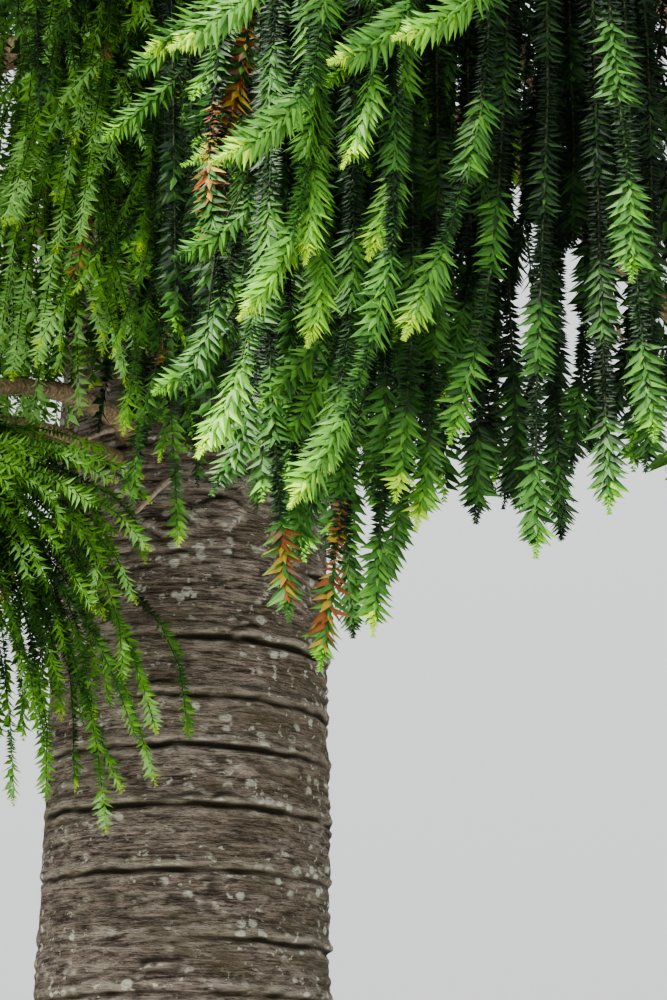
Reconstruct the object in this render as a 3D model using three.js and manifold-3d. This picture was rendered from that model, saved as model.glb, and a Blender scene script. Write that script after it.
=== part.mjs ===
// Bunya pine: a whole open-grown tree, drawn in millimetres with +Z up.
// The origin is the middle of the flat cut under the trunk, at ground level.
// Slender boughs stand in whorls round a columnar, ringed trunk. Each bough is bare near the trunk and
// then enters its own mass of foliage, whose twigs and hanging sprays grow from one stem by a seeded rule.
import * as THREE from "three";
import { mergeVertices } from "three/addons/utils/BufferGeometryUtils.js";
import Module from "manifold-3d";

const wasm = await Module();
wasm.setup();

// Driving dimensions of the trunk
const TRUNK_HEIGHT = 18700;
const TRUNK_RADIUS = 500;
const TRUNK_TIP_RADIUS = 45;
const TAPER_POWER = 1.9;
const TRUNK_SWEEP = 90;
const TRUNK_SIDES = 14;
const FLARE = 150;
const FLARE_HEIGHT = 420;
const ROOT_LOBES = 7;
const LOBE_SHARE = 0.07;
const RING_STEP = 640;
const RING_LIP = 13;
const RING_LIP_HEIGHT = 60;

// Driving dimensions that all boughs share
const CLEARANCE = 0.3;
const BARK_CLEARANCE = 0.42;
const MASS_CLEARANCE = 12;
const COLLAR_SHARE = 0.85;
const COLLAR_LENGTH = 160;
const BOUGH_TAPER = 0.42;
const BOUGH_SWEEP = 0.05;
const BOUGH_ROOT_SHARE = 0.6;
const LIMB_SIDES = 5;
const BOUGH_SEGMENTS = 5;
const STEM_SEGMENTS = 4;
const STEM_END = 0.94;

// Driving dimensions that all twigs and sprays share
const SPRAY_THICKNESS = 110;
const SPRAY_WIDTH_SHARE = 0.29;
const SPRAY_WAIST = 0.24;
const SPRAY_SINK = 14;
const SPRAY_MARGIN = 120;
const TWIG_TIP_RADIUS = 24;
const TWIG_BASE_RADIUS = 42;
const TWIG_SIDES = 3;
const WELD = 6;
const TWIG_FORWARD = 0.75;
const FIRST_TWIG = 0.45;
const TWIG_SHORTENING = 0.35;
const SPRAYS_ON_TWIG = [0.55, 0.97];
const SPRAY_ON_STEM_TIP = 0.97;
const SPRAY_OUTWARD = 0.3;
const SPRAY_LOOSENESS = 0.35;
const SPRAY_UPTURN = 0.45;
const SPRAY_SCATTER = 0.2;
const SHORTEST_SPRAY = 0.8;
const SHORTEST_TWIG = 0.85;
const LENGTH_SPREAD = 0.3;
const CURVE_STEP = 1e-3;
const GOLDEN_ANGLE = Math.PI * (3 - Math.sqrt(5));
const LEADER = { height: 1150, twigs: 5, twigLength: 900, sprayLength: 1200, hang: 0 };
const SEED = 1843;

// Each whorl: the height of its collars, the boughs in it, the azimuth of its first bough and the arc that
// they share, in degrees, its reach from the trunk's axis, and its rise, droop and lift, as shares of the
// reach. The lowest whorl has kept its boughs on the back and the left only, so its arc is short and turns
// the other way. bare is the share of the path before the foliage, twigs counts a mass's twigs, hang is how
// nearly its sprays hang straight down, and floor is the height that none of them reaches below.
const WHORLS = [
  {
    name: "skirt", height: 3950, count: 5, first: -112, arc: -200,
    reach: 2600, rise: 0.3, droop: 0.62, lift: 0, radius: 34, bare: 0.4,
    twigs: 3, twigLength: 620, sprayLength: 1250, hang: 0.92, floor: 2300,
  },
  {
    name: "low", height: 5900, count: 6, first: -84.5, arc: 360,
    reach: 6000, rise: 0.1, droop: 1.29, lift: 0.78, radius: 58, bare: 0.46,
    twigs: 4, twigLength: 1300, sprayLength: 1600, hang: 0.86, floor: 2000,
  },
  {
    name: "middle", height: 8300, count: 6, first: -54.5, arc: 360,
    reach: 6450, rise: 0.12, droop: 0.75, lift: 0.35, radius: 62, bare: 0.46,
    twigs: 4, twigLength: 1400, sprayLength: 1650, hang: 0.72, floor: 2000,
  },
  {
    name: "shoulder", height: 10900, count: 5, first: -100, arc: 360,
    reach: 6050, rise: 0.25, droop: 0.55, lift: 0.15, radius: 60, bare: 0.44,
    twigs: 4, twigLength: 1500, sprayLength: 1650, hang: 0.6, floor: 2000,
  },
  {
    name: "upper", height: 13300, count: 4, first: -58, arc: 360,
    reach: 4900, rise: 0.42, droop: 0.42, lift: 0.05, radius: 52, bare: 0.4,
    twigs: 4, twigLength: 1400, sprayLength: 1600, hang: 0.42, floor: 2000,
  },
  {
    name: "crown", height: 15700, count: 3, first: -90, arc: 360,
    reach: 3300, rise: 0.8, droop: 0.35, lift: 0, radius: 42, bare: 0.36,
    twigs: 4, twigLength: 1100, sprayLength: 1350, hang: 0.25, floor: 2000,
  },
];

const BARK = new THREE.MeshStandardMaterial({ color: 0x6d5c52, roughness: 0.95, metalness: 0 });
const BOUGH_BARK = new THREE.MeshStandardMaterial({ color: 0x8b7559, roughness: 0.9, metalness: 0 });
const FOLIAGE = new THREE.MeshStandardMaterial({ color: 0x2f6a1f, roughness: 0.45, metalness: 0 });

// A seeded source of numbers from 0 to 1, the same on every run
function randomFrom(seed) {
  let state = seed >>> 0;
  return () => {
    state = (state + 0x6d2b79f5) >>> 0;
    let mixed = Math.imul(state ^ (state >>> 15), state | 1);
    mixed ^= mixed + Math.imul(mixed ^ (mixed >>> 7), mixed | 61);
    return ((mixed ^ (mixed >>> 14)) >>> 0) / 4294967296;
  };
}

// A closed geometry as a solid for cutting and joining
function solidOf(geometry) {
  const bare = geometry.clone();
  bare.deleteAttribute("normal");
  bare.deleteAttribute("uv");
  const merged = mergeVertices(bare, 1e-3);
  const corners = merged.index.array;
  const triangles = [];
  for (let i = 0; i < corners.length; i += 3) {
    const [a, b, c] = [corners[i], corners[i + 1], corners[i + 2]];
    if (a !== b && b !== c && a !== c) triangles.push(a, b, c);
  }
  const vertProperties = merged.attributes.position.array;
  const triVerts = new Uint32Array(triangles);
  return new wasm.Manifold(new wasm.Mesh({ numProp: 3, vertProperties, triVerts }));
}

// The largest body of a solid, so that no loose scrap is left
function largestBody(solid) {
  const bodies = solid.decompose();
  return bodies.reduce((best, body) => (body.volume() > best.volume() ? body : best), bodies[0]);
}

function meshOf(name, solid, material) {
  const { numProp, vertProperties, triVerts } = solid.getMesh();
  const positions = new Float32Array((vertProperties.length / numProp) * 3);
  for (let i = 0; i < positions.length / 3; i++) {
    positions.set(vertProperties.subarray(i * numProp, i * numProp + 3), i * 3);
  }
  const geometry = new THREE.BufferGeometry();
  geometry.setAttribute("position", new THREE.BufferAttribute(positions, 3));
  geometry.setIndex(new THREE.BufferAttribute(triVerts, 1));
  geometry.computeVertexNormals();
  const mesh = new THREE.Mesh(geometry, material);
  mesh.name = name;
  return mesh;
}

// The trunk's radius without its flare, rings and lobes
function trunkRadius(height) {
  const share = Math.min(height / TRUNK_HEIGHT, 1);
  return TRUNK_TIP_RADIUS + (TRUNK_RADIUS - TRUNK_TIP_RADIUS) * (1 - share ** TAPER_POWER);
}

// The trunk's axis: upright where it shows most, with a slight sweep higher up
function trunkAxis(height) {
  const share = Math.min(height / TRUNK_HEIGHT, 1);
  return new THREE.Vector3(TRUNK_SWEEP * share * share, 0, height);
}

// The ringed trunk, from its flat foot to its tip. extra widens it, for cutting what meets it.
function trunkSolid(extra) {
  const profile = [new THREE.Vector2(0, 0), new THREE.Vector2(trunkRadius(0) + extra, 0)];
  for (let z = RING_STEP; z < TRUNK_HEIGHT - RING_STEP / 2; z += RING_STEP) {
    const lip = RING_LIP * (trunkRadius(z) / TRUNK_RADIUS);
    profile.push(new THREE.Vector2(trunkRadius(z) - lip + extra, z));
    profile.push(new THREE.Vector2(trunkRadius(z) + lip + extra, z + RING_LIP_HEIGHT));
  }
  profile.push(new THREE.Vector2(TRUNK_TIP_RADIUS + extra, TRUNK_HEIGHT));
  profile.push(new THREE.Vector2(0, TRUNK_HEIGHT));
  const geometry = new THREE.LatheGeometry(profile, TRUNK_SIDES);
  geometry.rotateX(Math.PI / 2);
  const place = geometry.attributes.position;
  for (let i = 0; i < place.count; i++) {
    const [x, y, z] = [place.getX(i), place.getY(i), place.getZ(i)];
    const fade = Math.exp(-z / FLARE_HEIGHT);
    const lobes = 1 + LOBE_SHARE * fade * Math.cos(ROOT_LOBES * Math.atan2(y, x));
    const widen = lobes * (1 + (FLARE / TRUNK_RADIUS) * fade);
    const axis = trunkAxis(z);
    place.setXYZ(i, x * widen + axis.x, y * widen + axis.y, z);
  }
  return solidOf(geometry);
}

// A closed limb along a path: point(t), forward(t) and radius(t), for t from 0 to 1
function limbSolid(path, sides, segments) {
  const geometry = new THREE.CylinderGeometry(1, 1, 1, sides, segments);
  const place = geometry.attributes.position;
  for (let i = 0; i < place.count; i++) {
    const t = place.getY(i) + 0.5;
    const { side, up } = frameOf(path.forward(t));
    const spot = path.point(t);
    spot.addScaledVector(side, place.getX(i) * path.radius(t));
    spot.addScaledVector(up, place.getZ(i) * path.radius(t));
    place.setXYZ(i, spot.x, spot.y, spot.z);
  }
  return solidOf(geometry);
}

// Unit vectors across a direction: side is level, and up stands on it
function frameOf(forward) {
  const level = Math.abs(forward.z) > 0.99 ? new THREE.Vector3(1, 0, 0) : new THREE.Vector3(0, 0, 1);
  const side = new THREE.Vector3().crossVectors(forward, level).normalize();
  const up = new THREE.Vector3().crossVectors(side, forward).normalize();
  return { side, up };
}

// A point on a bough's middle line, for s from 0 at the trunk's axis to 1 at its tip
function boughPoint(bough, s) {
  const out = bough.reach * s;
  const across = bough.reach * BOUGH_SWEEP * s * s;
  const climb = bough.reach * (bough.rise * s - bough.droop * s * s + bough.lift * s ** 3);
  const start = trunkAxis(bough.height);
  const [cos, sin] = [Math.cos(bough.azimuth), Math.sin(bough.azimuth)];
  const x = start.x + cos * out - sin * across;
  const y = start.y + sin * out + cos * across;
  return new THREE.Vector3(x, y, bough.height + climb);
}

function boughForward(bough, s) {
  return boughPoint(bough, s + CURVE_STEP).sub(boughPoint(bough, s - CURVE_STEP)).normalize();
}

// A bough's radius at s, with the swollen collar where it leaves the trunk
function boughRadius(bough, s) {
  const fromBark = bough.reach * s - trunkRadius(bough.height);
  const collar = 1 + COLLAR_SHARE * Math.exp(-Math.max(fromBark, 0) / COLLAR_LENGTH);
  return bough.radius * collar * (1 - BOUGH_TAPER * s);
}

// The bare part of a bough, from the trunk to its mass of foliage
function bareLimb(bough, cutter) {
  const from = (BOUGH_ROOT_SHARE * trunkRadius(bough.height)) / bough.reach;
  const at = (t) => from + (bough.bare - from) * t;
  const path = {
    point: (t) => boughPoint(bough, at(t)),
    forward: (t) => boughForward(bough, at(t)),
    radius: (t) => boughRadius(bough, at(t)),
  };
  return largestBody(limbSolid(path, LIMB_SIDES, BOUGH_SEGMENTS).subtract(cutter));
}

// One spray: a long eight-sided leaf, widest near its root, from root along direction
function spraySolid(root, direction, length) {
  const geometry = new THREE.OctahedronGeometry(1, 0);
  const { side, up } = frameOf(direction);
  const place = geometry.attributes.position;
  for (let i = 0; i < place.count; i++) {
    const atWaist = Math.abs(place.getY(i)) < 0.5;
    const along = atWaist ? SPRAY_WAIST : (place.getY(i) + 1) / 2;
    const spot = root.clone().addScaledVector(direction, along * length - SPRAY_SINK);
    spot.addScaledVector(side, (place.getX(i) * length * SPRAY_WIDTH_SHARE) / 2);
    spot.addScaledVector(up, (place.getZ(i) * SPRAY_THICKNESS) / 2);
    place.setXYZ(i, spot.x, spot.y, spot.z);
  }
  return solidOf(geometry);
}

// A three-sided twig from root to tip
function twigSolid(root, tip) {
  const forward = tip.clone().sub(root).normalize();
  const path = {
    point: (t) => root.clone().lerp(tip, t),
    forward: () => forward,
    radius: (t) => TWIG_BASE_RADIUS + (TWIG_TIP_RADIUS - TWIG_BASE_RADIUS) * t,
  };
  return limbSolid(path, TWIG_SIDES, 1);
}

// True where a solid stays clear of all that already stands
function isClear(solid, standing, gap) {
  const box = solid.boundingBox();
  const nearAlong = (far, k) => box.min[k] - gap < far.max[k] && box.max[k] + gap > far.min[k];
  return standing.every((other) => {
    const near = [0, 1, 2].every((k) => nearAlong(other.box, k));
    return !near || solid.minGap(other.solid, gap) >= gap;
  });
}

// A mass of foliage: a stem along the habit's path, twigs round it at the golden angle, and sprays on both.
// A twig or spray that leaves the mass's space or comes near anything standing is skipped.
function foliageSolid(habit, standing, random) {
  const parts = [limbSolid(habit.stem, LIMB_SIDES, STEM_SEGMENTS)];
  const addSpray = (root, forward, away) => {
    const level = new THREE.Vector3(forward.x, forward.y, 0).multiplyScalar(1 - habit.hang);
    const direction = level.addScaledVector(away, SPRAY_OUTWARD + SPRAY_LOOSENESS * (1 - habit.hang));
    direction.z += (1 - habit.hang) * SPRAY_UPTURN - habit.hang;
    direction.x += (random() - 0.5) * SPRAY_SCATTER;
    direction.y += (random() - 0.5) * SPRAY_SCATTER;
    direction.normalize();
    const length = habit.sprayLength * (SHORTEST_SPRAY + LENGTH_SPREAD * random());
    const spray = spraySolid(root, direction, length);
    const tip = root.clone().addScaledVector(direction, length);
    if (habit.holds(tip) && isClear(spray, standing, MASS_CLEARANCE)) parts.push(spray);
  };
  for (let i = 0; i < habit.twigs; i++) {
    const t = (i + FIRST_TWIG) / habit.twigs;
    const root = habit.stem.point(t);
    const forward = habit.stem.forward(t);
    const { side, up } = frameOf(forward);
    const roll = i * GOLDEN_ANGLE + habit.roll;
    const away = side.multiplyScalar(Math.cos(roll)).addScaledVector(up, Math.sin(roll)).normalize();
    const fullLength = habit.twigLength * (1 - TWIG_SHORTENING * t);
    const length = fullLength * (SHORTEST_TWIG + LENGTH_SPREAD * random());
    const direction = away.clone().addScaledVector(forward, TWIG_FORWARD).normalize();
    const tip = root.clone().addScaledVector(direction, length);
    const twig = twigSolid(root, tip);
    if (habit.holds(tip) && isClear(twig, standing, MASS_CLEARANCE)) {
      parts.push(twig);
      for (const share of SPRAYS_ON_TWIG) addSpray(root.clone().lerp(tip, share), forward, away);
    }
    addSpray(root, forward, away.negate());
  }
  addSpray(habit.stem.point(SPRAY_ON_STEM_TIP), habit.stem.forward(1), new THREE.Vector3());
  return largestBody(wasm.Manifold.union(parts).simplify(WELD));
}

// The habit of the mass on a bough: its stem carries the bough's own line on to the tip
function boughHabit(bough) {
  const from = bough.bare + CLEARANCE / (bough.reach * boughStretch(bough, bough.bare));
  const at = (t) => from + (STEM_END - from) * t;
  const taper = boughRadius(bough, bough.bare);
  const sector = THREE.MathUtils.degToRad(Math.abs(bough.arc) / bough.count / 2);
  return {
    stem: {
      point: (t) => boughPoint(bough, at(t)),
      forward: (t) => boughForward(bough, at(t)),
      radius: (t) => taper + (TWIG_TIP_RADIUS - taper) * t,
    },
    holds: (spot) => {
      const turn = Math.atan2(spot.y, spot.x) - bough.azimuth;
      const away = Math.abs(Math.atan2(Math.sin(turn), Math.cos(turn)));
      const distance = Math.hypot(spot.x, spot.y);
      return away < sector && distance < bough.reach + SPRAY_MARGIN && spot.z > bough.floor;
    },
    roll: bough.azimuth,
    twigs: bough.twigs,
    twigLength: bough.twigLength,
    sprayLength: bough.sprayLength,
    hang: bough.hang,
  };
}

// How many millimetres of path a bough has for each millimetre of reach at s
function boughStretch(bough, s) {
  return boughPoint(bough, s + CURVE_STEP).distanceTo(boughPoint(bough, s)) / (bough.reach * CURVE_STEP);
}

// The habit of the tuft on the trunk's tip
function leaderHabit() {
  const foot = trunkAxis(TRUNK_HEIGHT);
  return {
    stem: {
      point: (t) => foot.clone().setZ(TRUNK_HEIGHT + CLEARANCE + LEADER.height * t),
      forward: () => new THREE.Vector3(0, 0, 1),
      radius: (t) => TRUNK_TIP_RADIUS + (TWIG_TIP_RADIUS - TRUNK_TIP_RADIUS) * t,
    },
    holds: () => true,
    roll: 0,
    ...LEADER,
  };
}

// All boughs of the tree, whorl by whorl, from the lowest up
function makeBoughs() {
  return WHORLS.flatMap((whorl) =>
    Array.from({ length: whorl.count }, (_, i) => ({
      ...whorl,
      azimuth: THREE.MathUtils.degToRad(whorl.first + (whorl.arc / whorl.count) * i),
      label: `${whorl.name}_${i + 1}`,
    })),
  );
}

function makeTree() {
  const tree = new THREE.Group();
  const trunk = trunkSolid(0);
  const cutter = trunkSolid(BARK_CLEARANCE);
  tree.add(meshOf("trunk", trunk, BARK));
  const standing = [{ solid: trunk, box: trunk.boundingBox() }];
  const boughs = makeBoughs();
  for (const bough of boughs) {
    const limb = bareLimb(bough, cutter);
    tree.add(meshOf(`bough_${bough.label}`, limb, BOUGH_BARK));
    standing.push({ solid: limb, box: limb.boundingBox() });
  }
  const habits = boughs.map((bough) => ({ name: `foliage_${bough.label}`, habit: boughHabit(bough) }));
  habits.push({ name: "foliage_leader", habit: leaderHabit() });
  habits.forEach(({ name, habit }, i) => {
    const mass = foliageSolid(habit, standing, randomFrom(SEED + i));
    tree.add(meshOf(name, mass, FOLIAGE));
    standing.push({ solid: mass, box: mass.boundingBox() });
  });
  return tree;
}

export default makeTree();
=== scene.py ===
"""Bunya pine: the visible tree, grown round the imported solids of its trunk, boughs and masses of foliage.

All sizes are metres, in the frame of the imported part: +Z up, the origin in the middle of the trunk's flat
foot, and the photograph taken from the -Y side. Boughs follow the same rule as in the part's source. Here
they are carried on to finer twigs and to hanging ropes of leaves, and the bark gets its relief.
"""

import logging
import math
from dataclasses import asdict, dataclass, field, fields
from enum import IntEnum
from functools import lru_cache
from typing import Sequence

import bpy
import numpy as np
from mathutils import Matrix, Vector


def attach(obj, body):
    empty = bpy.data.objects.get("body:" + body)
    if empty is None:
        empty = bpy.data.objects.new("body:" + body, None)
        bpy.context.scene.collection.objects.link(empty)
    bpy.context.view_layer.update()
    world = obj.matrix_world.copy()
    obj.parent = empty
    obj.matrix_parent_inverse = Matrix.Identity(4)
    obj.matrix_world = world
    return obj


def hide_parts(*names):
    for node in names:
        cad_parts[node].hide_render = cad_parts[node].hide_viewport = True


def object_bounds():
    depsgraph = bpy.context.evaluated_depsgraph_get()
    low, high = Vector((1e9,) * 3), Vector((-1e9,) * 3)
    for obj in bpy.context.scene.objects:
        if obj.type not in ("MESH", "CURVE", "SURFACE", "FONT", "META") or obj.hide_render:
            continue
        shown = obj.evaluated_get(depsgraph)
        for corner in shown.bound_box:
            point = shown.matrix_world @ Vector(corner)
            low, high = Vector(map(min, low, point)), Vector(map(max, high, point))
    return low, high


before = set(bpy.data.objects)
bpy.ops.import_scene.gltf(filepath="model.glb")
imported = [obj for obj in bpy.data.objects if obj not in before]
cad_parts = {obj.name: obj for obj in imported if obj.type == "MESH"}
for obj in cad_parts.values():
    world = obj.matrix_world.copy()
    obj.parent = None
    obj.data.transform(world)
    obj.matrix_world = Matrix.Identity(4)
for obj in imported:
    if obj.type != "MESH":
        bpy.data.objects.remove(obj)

LOG = logging.getLogger("bunya_pine")
CAD_BOX = np.array(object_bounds())
GOLDEN_ANGLE = math.pi * (3 - math.sqrt(5))
SEED = 1843
PIECE_LIMIT = 190_000
UP = np.array([0.0, 0.0, 1.0])
LEVEL = np.array([1.0, 1.0, 0.0])

Array = np.ndarray
Colour = tuple[float, float, float]


# Arrays of points and directions


def unit(vectors: Array) -> Array:
    """The same directions at unit length."""
    return vectors / np.maximum(np.linalg.norm(vectors, axis=-1, keepdims=True), 1e-9)


def blend(low: Array | float, high: Array | float, share: Array | float) -> Array:
    """A mix of two values, all low where share is 0 and all high where it is 1."""
    return low + (high - low) * share


def ease(values: Array, low: float, high: float) -> Array:
    """A smooth step from 0 at low to 1 at high."""
    share = np.clip((values - low) / (high - low), 0, 1)
    return share * share * (3 - 2 * share)


def bell(values: Array, width: Array | float) -> Array:
    """A smooth bump, 1 at zero and near 0 beyond twice the width."""
    return np.exp(-((values / width) ** 2))


def turned(azimuth: Array | float) -> Array:
    """Level unit directions at azimuths in radians."""
    azimuth = np.asarray(azimuth, dtype=float)
    return np.stack([np.cos(azimuth), np.sin(azimuth), np.zeros_like(azimuth)], axis=-1)


def wander(points: Array, seed: int) -> Array:
    """Smooth noise between -1 and 1, the same on every run.

    Args:
        points: Places as (n, 3), scaled so that the noise changes over one unit.
        seed: Picks one of many such noises.

    Returns:
        One value for each place.
    """
    cell = np.floor(points).astype(np.int64)
    share = points - cell
    share = share * share * (3 - 2 * share)
    total = np.zeros(len(points))
    for corner in range(8):
        step = np.array([corner & 1, corner >> 1 & 1, corner >> 2 & 1])
        mixed = (cell + step) @ np.array([73856093, 19349663, 83492791]) + seed * 2654435
        mixed = (mixed ^ (mixed >> 13)) * 1274126177 & 0xFFFFFFFF
        mixed = (mixed ^ (mixed >> 16)) & 0xFFFF
        total += np.prod(np.where(step, share, 1 - share), axis=1) * (mixed / 0x7FFF - 1)
    return total


def smooth_line(given: Array, count: int) -> Array:
    """A smooth line of evenly spaced points through a few given ones.

    Args:
        given: The given points.
        count: How many points the line gets.

    Returns:
        The points.
    """
    along = np.concatenate([[0], np.cumsum(np.sqrt(np.linalg.norm(np.diff(given, axis=0), axis=1)))])
    tangent = np.gradient(given, along, axis=0)
    fine = np.linspace(0, along[-1], 120)
    cell = np.clip(np.searchsorted(along, fine, side="right") - 1, 0, len(along) - 2)
    width = (along[cell + 1] - along[cell])[:, None]
    t = (fine - along[cell])[:, None] / width
    curve = given[cell] * (2 * t**3 - 3 * t**2 + 1) + given[cell + 1] * (3 * t**2 - 2 * t**3)
    bend = tangent[cell] * width * (t**3 - 2 * t**2 + t)
    curve = curve + bend + tangent[cell + 1] * width * (t**3 - t**2)
    travelled = np.concatenate([[0], np.cumsum(np.linalg.norm(np.diff(curve, axis=0), axis=1))])
    wanted = np.linspace(0, travelled[-1], count)
    return np.stack([np.interp(wanted, travelled, curve[:, k]) for k in range(3)], axis=1)


# Shader building


class Sock:
    """A node's output, with Python's arithmetic."""

    def __init__(self, graph: "Graph", link: bpy.types.NodeSocket) -> None:
        """Wraps the output link of a node of graph."""
        self.graph = graph
        self.link = link

    def maths(self, operation: str, first: object, second: object) -> "Sock":
        """One Math node on sockets or numbers."""
        return self.graph.node("ShaderNodeMath", {"operation": operation}, {0: first, 1: second})

    def __add__(self, other: object) -> "Sock":
        """This plus other."""
        return self.maths("ADD", self, other)

    def __sub__(self, other: object) -> "Sock":
        """This minus other."""
        return self.maths("SUBTRACT", self, other)

    def __rsub__(self, other: object) -> "Sock":
        """Other minus this."""
        return self.maths("SUBTRACT", other, self)

    def __mul__(self, other: object) -> "Sock":
        """This times other."""
        return self.maths("MULTIPLY", self, other)

    __radd__ = __add__
    __rmul__ = __mul__

    def step(self, low: float, high: float) -> "Sock":
        """A smooth step of this from 0 at low to 1 at high."""
        settings = {"interpolation_type": "SMOOTHSTEP"}
        return self.graph.node("ShaderNodeMapRange", settings, {0: self, 1: low, 2: high, 3: 0.0, 4: 1.0})


class Graph:
    """A node tree under construction."""

    def __init__(self, tree: bpy.types.NodeTree) -> None:
        """Starts from an emptied tree."""
        self.tree = tree
        self.tree.nodes.clear()

    def feed(self, socket: bpy.types.NodeSocket, value: object) -> None:
        """Links a Sock to an input, or sets the input to a plain value."""
        if isinstance(value, Sock):
            self.tree.links.new(value.link, socket)
        else:
            socket.default_value = value

    def node(self, kind: str, settings: dict, inputs: dict, output: str | int = 0) -> Sock:
        """Adds any node.

        Args:
            kind: The node's type.
            settings: Its own settings, which are set first.
            inputs: Values or Socks by the name or number of the input.
            output: The name or number of the output that is used.

        Returns:
            That output.
        """
        made = self.tree.nodes.new(kind)
        for key, value in settings.items():
            setattr(made, key, value)
        for key, value in inputs.items():
            self.feed(made.inputs[key], value)
        return Sock(self, made.outputs[output])

    def mix(self, share: object, low: object, high: object) -> Sock:
        """A mix of two colours, each a Sock or a plain colour."""
        low, high = (c if isinstance(c, Sock) else (*c, 1.0) for c in (low, high))
        return self.node("ShaderNodeMix", {"data_type": "RGBA"}, {0: share, 6: low, 7: high}, 2)

    def layers(self, colour: object, *over: tuple[Sock, object]) -> Sock:
        """A colour with others laid over it in turn, each as far as its mask says."""
        for mask, other in over:
            colour = self.mix(mask, colour, other)
        return colour


class Paint(Graph):
    """A material under construction: one Principled shader and the nodes that feed it."""

    def __init__(self, name: str) -> None:
        """Starts an empty material of that name."""
        self.material = bpy.data.materials.new(name)
        self.material.use_nodes = True
        super().__init__(self.material.node_tree)
        self.shader = self.tree.nodes.new("ShaderNodeBsdfPrincipled")
        output = self.tree.nodes.new("ShaderNodeOutputMaterial")
        self.tree.links.new(self.shader.outputs[0], output.inputs[0])

    def place(self, scale: Sequence[float], sway: float = 0.0) -> Sock:
        """Object coordinates, scaled along each axis, and swayed by coarse noise where a sway is given."""
        here = self.node("ShaderNodeTexCoord", {}, {}, "Object")
        made = self.node("ShaderNodeMapping", {}, {"Vector": here, "Scale": scale})
        if sway:
            inputs = {"Vector": made, "Scale": 0.7, "Detail": 3.0}
            drift = self.node("ShaderNodeTexNoise", {}, inputs, "Color")
            drift = self.node("ShaderNodeVectorMath", {"operation": "SCALE"}, {0: drift, "Scale": sway})
            made = self.node("ShaderNodeVectorMath", {"operation": "ADD"}, {0: made, 1: drift})
        return made

    def noise(
        self, scale: Sequence[float], detail: float = 3.0, rough: float = 0.55, sway: float = 0.0
    ) -> Sock:
        """Noise from 0 to 1 on scaled object coordinates."""
        inputs = {"Vector": self.place(scale, sway), "Scale": 1.0, "Detail": detail, "Roughness": rough}
        return self.node("ShaderNodeTexNoise", {}, inputs)

    def cracks(self, scale: Sequence[float], sway: float, wide: float) -> Sock:
        """1 in the gaps between cells of scaled object coordinates, 0 on the cells."""
        inputs = {"Vector": self.place(scale, sway), "Scale": 1.0}
        gap = self.node("ShaderNodeTexVoronoi", {"feature": "DISTANCE_TO_EDGE"}, inputs)
        return 1 - gap.step(0.0, wide)

    def blots(self, scale: Sequence[float], sway: float, radius: float) -> Sock:
        """1 in round blots of scaled object coordinates, 0 between them."""
        inputs = {"Vector": self.place(scale, sway), "Scale": 1.0}
        return 1 - self.node("ShaderNodeTexVoronoi", {"feature": "F1"}, inputs).step(radius * 0.55, radius)

    def attribute(self, name: str) -> Sock:
        """A number stored on the mesh's own points."""
        return self.node("ShaderNodeAttribute", {"attribute_name": name}, {}, "Fac")

    def bump(self, height: Sock, distance: float, strength: float = 1.0) -> None:
        """Feeds the shader's normal with a bump of that height."""
        inputs = {"Height": height, "Distance": distance, "Strength": strength}
        self.set(Normal=self.node("ShaderNodeBump", {}, inputs))

    def set(self, **inputs: object) -> None:
        """Sets or links inputs of the shader; underscores in a name stand for spaces."""
        for key, value in inputs.items():
            self.feed(self.shader.inputs[key.replace("_", " ")], value)


# Finishes


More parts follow.
